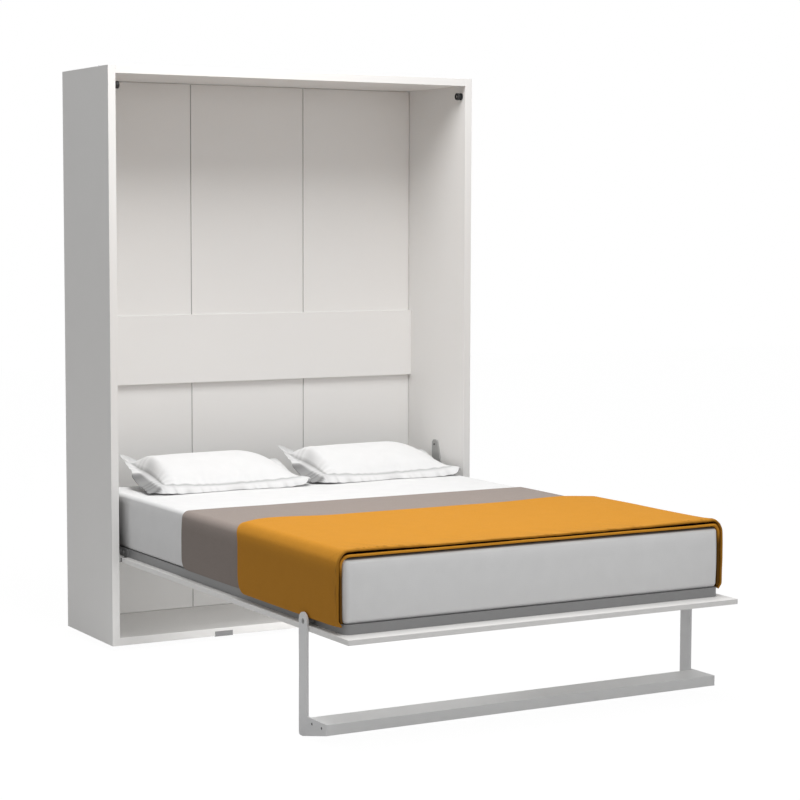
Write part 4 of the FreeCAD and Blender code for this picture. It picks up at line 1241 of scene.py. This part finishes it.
@dataclass
class Pillows:
    """Two white pillows side by side at the head of the bed.

    Heights are over the mattress. seam_heights are the seam's least height and its rises to the ends
    and to the head; each of side_rises is a rise of the flange and the places where it starts and ends.
    The shades are painted shade: in the seam, over the flange and its pleats, on the rear flange, in the
    left side's fold and at the left end, no deeper than darkest.
    """

    size: Point = (0.675, 0.40, 0.126)
    bag: PillowBag = field(default_factory=PillowBag)
    middles: Sequence[tuple[str, float, float, float]] = (
        ("left", -0.300, 0.790, 0.0), ("right", 0.396, 0.804, 0.6))
    corners: Sequence[FlangeCorner] = (
        FlangeCorner(-1.0, 1.0, 0.12, 0.032, -0.002), FlangeCorner(1.0, 1.0, 0.085, 0.0, 0.034),
        FlangeCorner(1.0, -1.0, 0.07, 0.024, 0.013), FlangeCorner(-1.0, -1.0, 0.05, -0.003, 0.022))
    cloth: float = 0.0016
    lowest: float = 0.0012
    waist: float = 0.01
    simulated_share: float = 0.25
    blend_reach: float = 0.3
    top_power: float = 1.9
    under_power: float = 2.6
    seam_heights: Triple = (0.022, 0.014, 0.032)
    front_slope: tuple[float, float] = (1.35, 1.25)
    rear_from: float = 0.35
    left_from: float = 0.80
    right_from: float = 0.35
    front_edge: tuple[float, float] = (0.001, 0.007)
    side_edge: float = 0.008
    side_rises: Sequence[Triple] = ((0.014, -1.0, -0.2), (0.072, -0.45, 0.95))
    right_lower: float = 0.22
    fold_out: tuple[float, float] = (0.016, 0.042)
    rear_pull: float = 0.020
    pleat: float = 0.052
    side_pleat: float = 0.006
    end_pleat: tuple[float, float] = (0.0012, 0.0045)
    body_pleat: float = 0.012
    seam_width: float = 0.0048
    seam_shade: float = 0.66
    flange_shade: float = 0.08
    pleat_shade: float = 0.26
    rear_shade: float = 0.22
    fold_shade: float = 0.62
    left_shade: float = 0.09
    darkest: float = 0.9

    def build(self) -> None:
        """Fill one case, then rest it on the mattress as both pillows."""
        filled, flat = self.bag.fill()
        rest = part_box("mattress")[1][2]
        for side, x, y, turn in self.middles:
            mesh = filled.copy()
            self.settle(mesh, flat, Vector((x, y, rest)), math.radians(turn))
            piece = SoftPiece(f"{side}_pillow_in_case", Finishes.PILLOW_COTTON, "pillow_cloth",
                              (f"{side}_pillow",))
            made = piece.install(mesh, rim=self.cloth, levels=1)
            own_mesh(made)

    def seam(self, spot: CasePlace) -> float:
        """The seam's height beside a place."""
        low, ends, head = self.seam_heights
        return low + ends * spot.body_u ** 2 + head * smooth_step(-1.0, 1.0, spot.body_v)

    def plump(self, spot: CasePlace) -> float:
        """The filling over the seam: a wedge, highest towards the head.

        Args:
            spot: the place in the case.

        Returns:
            Its height, from 0 to 1.
        """
        depth, power = self.front_slope
        front = 1.0 - (1.0 - min(1.0, (spot.body_v + 1.0) / depth)) ** power
        rear = math.sqrt(1.0 - past(self.rear_from, spot.body_v) ** 2)
        left = 1.0 - past(self.left_from, -spot.body_u) ** 2
        return front * rear * left * (1.0 - past(self.right_from, spot.body_u) ** 2)

    def body(self, spot: CasePlace, rise: float) -> float:
        """The height of the case inside its seam.

        Args:
            spot: the place in the case.
            rise: how far it was blown up, as a share of the most, or down, as a share below 0.

        Returns:
            The height.
        """
        seam = self.seam(spot)
        if rise < 0:
            return seam * (1.0 - min(1.0, -rise)) ** self.under_power
        inward = 1.0 - max(abs(spot.body_u), abs(spot.body_v))
        share = self.simulated_share * smooth_step(0.0, self.blend_reach, inward)
        filled = 1.0 - (1.0 - rise) ** self.top_power
        return seam + (self.size[2] - seam) * (self.plump(spot) * (1.0 - share) + filled * share)

    def edge(self, spot: CasePlace) -> float:
        """The height of the flange's outer edge.

        Args:
            spot: a place on the flange.

        Returns:
            The height of the edge beside it.
        """
        u, v = spot.u, spot.v
        if v < 0 and abs(u) < abs(v):
            return self.front_edge[0] + self.front_edge[1] * smooth_step(0.55, 1.0, abs(u))
        rises = (rise * smooth_step(start, end, v) for rise, start, end in self.side_rises)
        side = self.side_edge + sum(rises)
        side *= 1.0 - self.right_lower * smooth_step(-0.2, 1.0, u)
        return side if abs(u) >= abs(v) else side * (0.8 + 0.2 * u * u)

    def crimp(self, along: float, seed: float) -> float:
        """The flange's crisp pleats, stronger in some places than in others.

        Args:
            along: the distance along the edge.
            seed: a number that tells the edges apart.

        Returns:
            The pleat's height, from -1 to 1.
        """
        phase = along / self.pleat + 1.3 * ripple(along, seed, 9.0, seed)
        strength = smooth_step(-0.35, 0.25, ripple(along, seed, 7.0, seed + 20.0))
        return (4.0 * abs(phase - math.floor(phase) - 0.5) - 1.0) * (0.2 + 0.8 * strength)

    def shape(self, point: Vector, spot: CasePlace, crimp: float) -> None:
        """Lower the flange to its edge, fold and pleat it, and carry the pleats into the body.

        Args:
            point: the place's point, which is moved.
            spot: the place in the case.
            crimp: the pleats' height there.
        """
        outward = spot.outward
        if outward > 0:
            seam = self.seam(spot)
            drop = outward + (smooth_step(0.35, 1.0, outward) - outward) * spot.folded
            point.z = seam + (self.edge(spot) - seam) * drop
            out = self.fold_out[0] * outward - self.fold_out[1] * smooth_step(0.45, 1.0, outward)
            point.x -= abs(out) * spot.folded
            point.z += crimp * outward * (self.side_pleat if spot.on_side else self.end_pleat[0])
            point.y += crimp * outward * (0.0 if spot.on_side else self.end_pleat[1])
            point.y -= self.rear_pull * outward * smooth_step(0.4, 1.0, spot.v)
        else:
            near = smooth_step(-0.07, 0.0, spot.past_seam) * (1.0 if spot.on_side else 0.4)
            point.z += crimp * self.body_pleat * near * (1.0 - near)

    def shade(self, spot: CasePlace, crimp: float) -> float:
        """The painted shade of a place in the seam, a pleat, the rear flange or the left side's fold.

        Args:
            spot: the place in the case.
            crimp: the pleats' height there.

        Returns:
            Its shade, from 0 to 1.
        """
        outward = spot.outward
        # Painted shade in the seam, over the flange and its pleats, on the rear flange, in the left side's
        # fold and at the left end.
        shade = self.seam_shade * math.exp(-(spot.past_seam / self.seam_width) ** 2)
        shade += (self.flange_shade + self.pleat_shade * max(0.0, crimp)) * outward
        shade += self.rear_shade * outward * smooth_step(0.4, 0.8, spot.v)
        shade += self.fold_shade * spot.folded * smooth_step(0.25, 0.6, outward)
        left_end = smooth_step(-0.78, -0.95, spot.body_u) * (1.0 - outward)
        return min(self.darkest, shade + self.left_shade * (1.0 + crimp) * left_end)

    def settle(self, mesh: bpy.types.Mesh, flat: Sequence[tuple[float, float]], place: Vector,
               turn: float) -> None:
        """Press a filled case on to the bed, shape its flange and put it in its place.

        Args:
            mesh: the case's mesh, about its own middle.
            flat: the places of the mesh's points in the flat case.
            place: the middle of its underside.
            turn: its turn about the upright, in radians.
        """
        points = [vertex.co.copy() for vertex in mesh.vertices]
        low = Vector([min(point[axis] for point in points) for axis in range(3)])
        high = Vector([max(point[axis] for point in points) for axis in range(3)])
        half = Vector(self.size) / 2
        spin = Matrix.Rotation(turn, 3, "Z")
        shades = []
        for vertex, point, flat_place in zip(mesh.vertices, points, flat):
            spot = CasePlace(*flat_place, self.bag)
            blown_u, blown_v = ((2 * point[axis] - low[axis] - high[axis]) / (high[axis] - low[axis])
                                for axis in (0, 1))
            x = spot.u + (blown_u - spot.u) * self.simulated_share
            y = spot.v + (blown_v - spot.v) * self.simulated_share
            x *= half.x * (1.0 - self.waist * (1.0 - spot.v ** 2))
            y *= half.y
            rise = point.z / high.z if point.z >= 0 else -point.z / low.z
            shaped = Vector((x, y, self.body(spot, rise)))
            along, across = (y, x) if spot.on_side else (x, y)
            crimp = self.crimp(along, 2.0 + math.copysign(1.0, across))
            self.shape(shaped, spot, crimp)
            for corner in self.corners:
                corner.move(shaped, half)
            shaped.z = max(shaped.z, self.lowest)
            vertex.co = spin @ shaped + place
            shades.append(self.shade(spot, crimp))
        keep_shades(mesh, shades)


# Camera, stage and lights


@dataclass(frozen=True)
class PhotoCamera:
    """The camera that the photograph's straight lines give."""

    place: Point = (-3.7991, -6.83555, 1.6438)
    yaw: float = 29.557
    pitch: float = -4.871
    roll: float = 0.165
    lens: float = 96.685

    def build(self) -> None:
        """Make the scene's camera."""
        data = bpy.data.cameras.new("photo_camera")
        data.lens = self.lens
        data.sensor_width = 36.0
        data.clip_end = 60.0
        camera = in_scene("photo_camera", data)
        turn = (Matrix.Rotation(math.radians(-self.yaw), 4, "Z")
                @ Matrix.Rotation(math.radians(90.0 + self.pitch), 4, "X")
                @ Matrix.Rotation(math.radians(self.roll), 4, "Z"))
        camera.matrix_world = Matrix.Translation(self.place) @ turn
        bpy.context.scene.camera = camera
        LOG.info("camera at %s", self.place)


@dataclass(frozen=True)
class AreaLamp:
    """A rectangular soft lamp."""

    name: str
    place: Point
    aim: Point
    size: tuple[float, float]
    power: float

    def build(self) -> None:
        """Hang the lamp and point it."""
        data = bpy.data.lights.new(self.name, "AREA")
        data.shape = "RECTANGLE"
        data.size, data.size_y = self.size
        data.energy = self.power
        lamp = in_scene(self.name, data)
        lamp.location = self.place
        lamp.rotation_euler = (Vector(self.aim) - Vector(self.place)).to_track_quat("-Z", "Y").to_euler()
        lamp.visible_camera = False
        LOG.info("lamp %s", self.name)


@dataclass
class Studio:
    """A pale floor, a white surround and soft lamps over the bed."""

    floor_colour: Colour = (0.54, 0.54, 0.54)
    floor_half: float = 15.0
    floor_drop: float = 0.0005
    surround: float = 0.45
    white_share: float = 0.9
    white_level: float = 1.08
    lamps: Sequence[AreaLamp] = (
        AreaLamp("lamp_over_bed", (-0.4, -0.75, 4.1), (0.0, 0.1, 0.4), (1.35, 2.05), 103.0),
        AreaLamp("lamp_in_front", (0.25, -3.7, 2.5), (0.1, 0.4, 0.7), (1.5, 1.0), 14.0),
        AreaLamp("lamp_near_floor", (-0.9, -4.8, 0.28), (-0.2, 0.9, 0.2), (2.2, 0.45), 4.0),
        AreaLamp("lamp_under_bed", (0.0, 0.06, 0.335), (0.0, 0.06, 0.0), (1.05, 0.5), 8.0),
    )

    def seen_straight(self, graph: Graph) -> Signal:
        """Tell the rays that are seen straight, off gloss or through glass from the others.

        Args:
            graph: the graph to add this to.

        Returns:
            1 for those rays and 0 for the others.
        """
        rays = graph.node("ShaderNodeLightPath").socket.node.outputs
        camera, gloss, through = (Signal(graph, rays[f"Is {kind} Ray"])
                                  for kind in ("Camera", "Glossy", "Transmission"))
        return camera.larger(gloss).larger(through)

    def build_world(self) -> None:
        """Light the scene evenly, and show white behind it."""
        world = bpy.data.worlds.new("studio_surround")
        bpy.context.scene.world = world
        graph = Graph(world)
        seen = self.seen_straight(graph)
        strength = seen * (1.0 - self.surround) + self.surround
        light = graph.node("ShaderNodeBackground", None, {"Color": WHITE, "Strength": strength})
        graph.end("ShaderNodeOutputWorld", light)

    def build_floor(self) -> None:
        """Lay the floor, white to the eye but for the object's shadow."""
        material = bpy.data.materials.new("studio_floor")
        graph = Graph(material)
        seen = self.seen_straight(graph)
        matt = graph.node("ShaderNodeBsdfDiffuse", None, {"Color": self.floor_colour})
        white = graph.node("ShaderNodeEmission", None, {"Color": WHITE, "Strength": self.white_level})
        both = graph.node("ShaderNodeMixShader", None, {0: seen * self.white_share, 1: matt, 2: white})
        graph.end("ShaderNodeOutputMaterial", both)
        mesh = bpy.data.meshes.new("studio_floor")
        half = self.floor_half
        corners = [(-half, -half, 0.0), (half, -half, 0.0), (half, half, 0.0), (-half, half, 0.0)]
        mesh.from_pydata(corners, [], [(0, 1, 2, 3)])
        mesh.materials.append(material)
        floor = in_scene("studio_floor", mesh)
        floor.location.z = -self.floor_drop

    def build(self) -> None:
        """Set the view, then build the surround, the floor and the lamps."""
        bpy.context.scene.view_settings.view_transform = "Standard"
        self.build_world()
        self.build_floor()
        for lamp in self.lamps:
            lamp.build()


def main() -> None:
    """Build the camera, the object's sub-assemblies, the bedding and the studio."""
    logging.basicConfig(level=logging.INFO, format="%(name)s: %(message)s")
    PhotoCamera().build()
    for assembly in (Cabinet(), BedFrame(), Leg(), Struts(), Mattress(), Blankets(), Pillows(), Studio()):
        LOG.info("building %s", type(assembly).__name__)
        assembly.build()


if __name__ == "__main__":
    main()
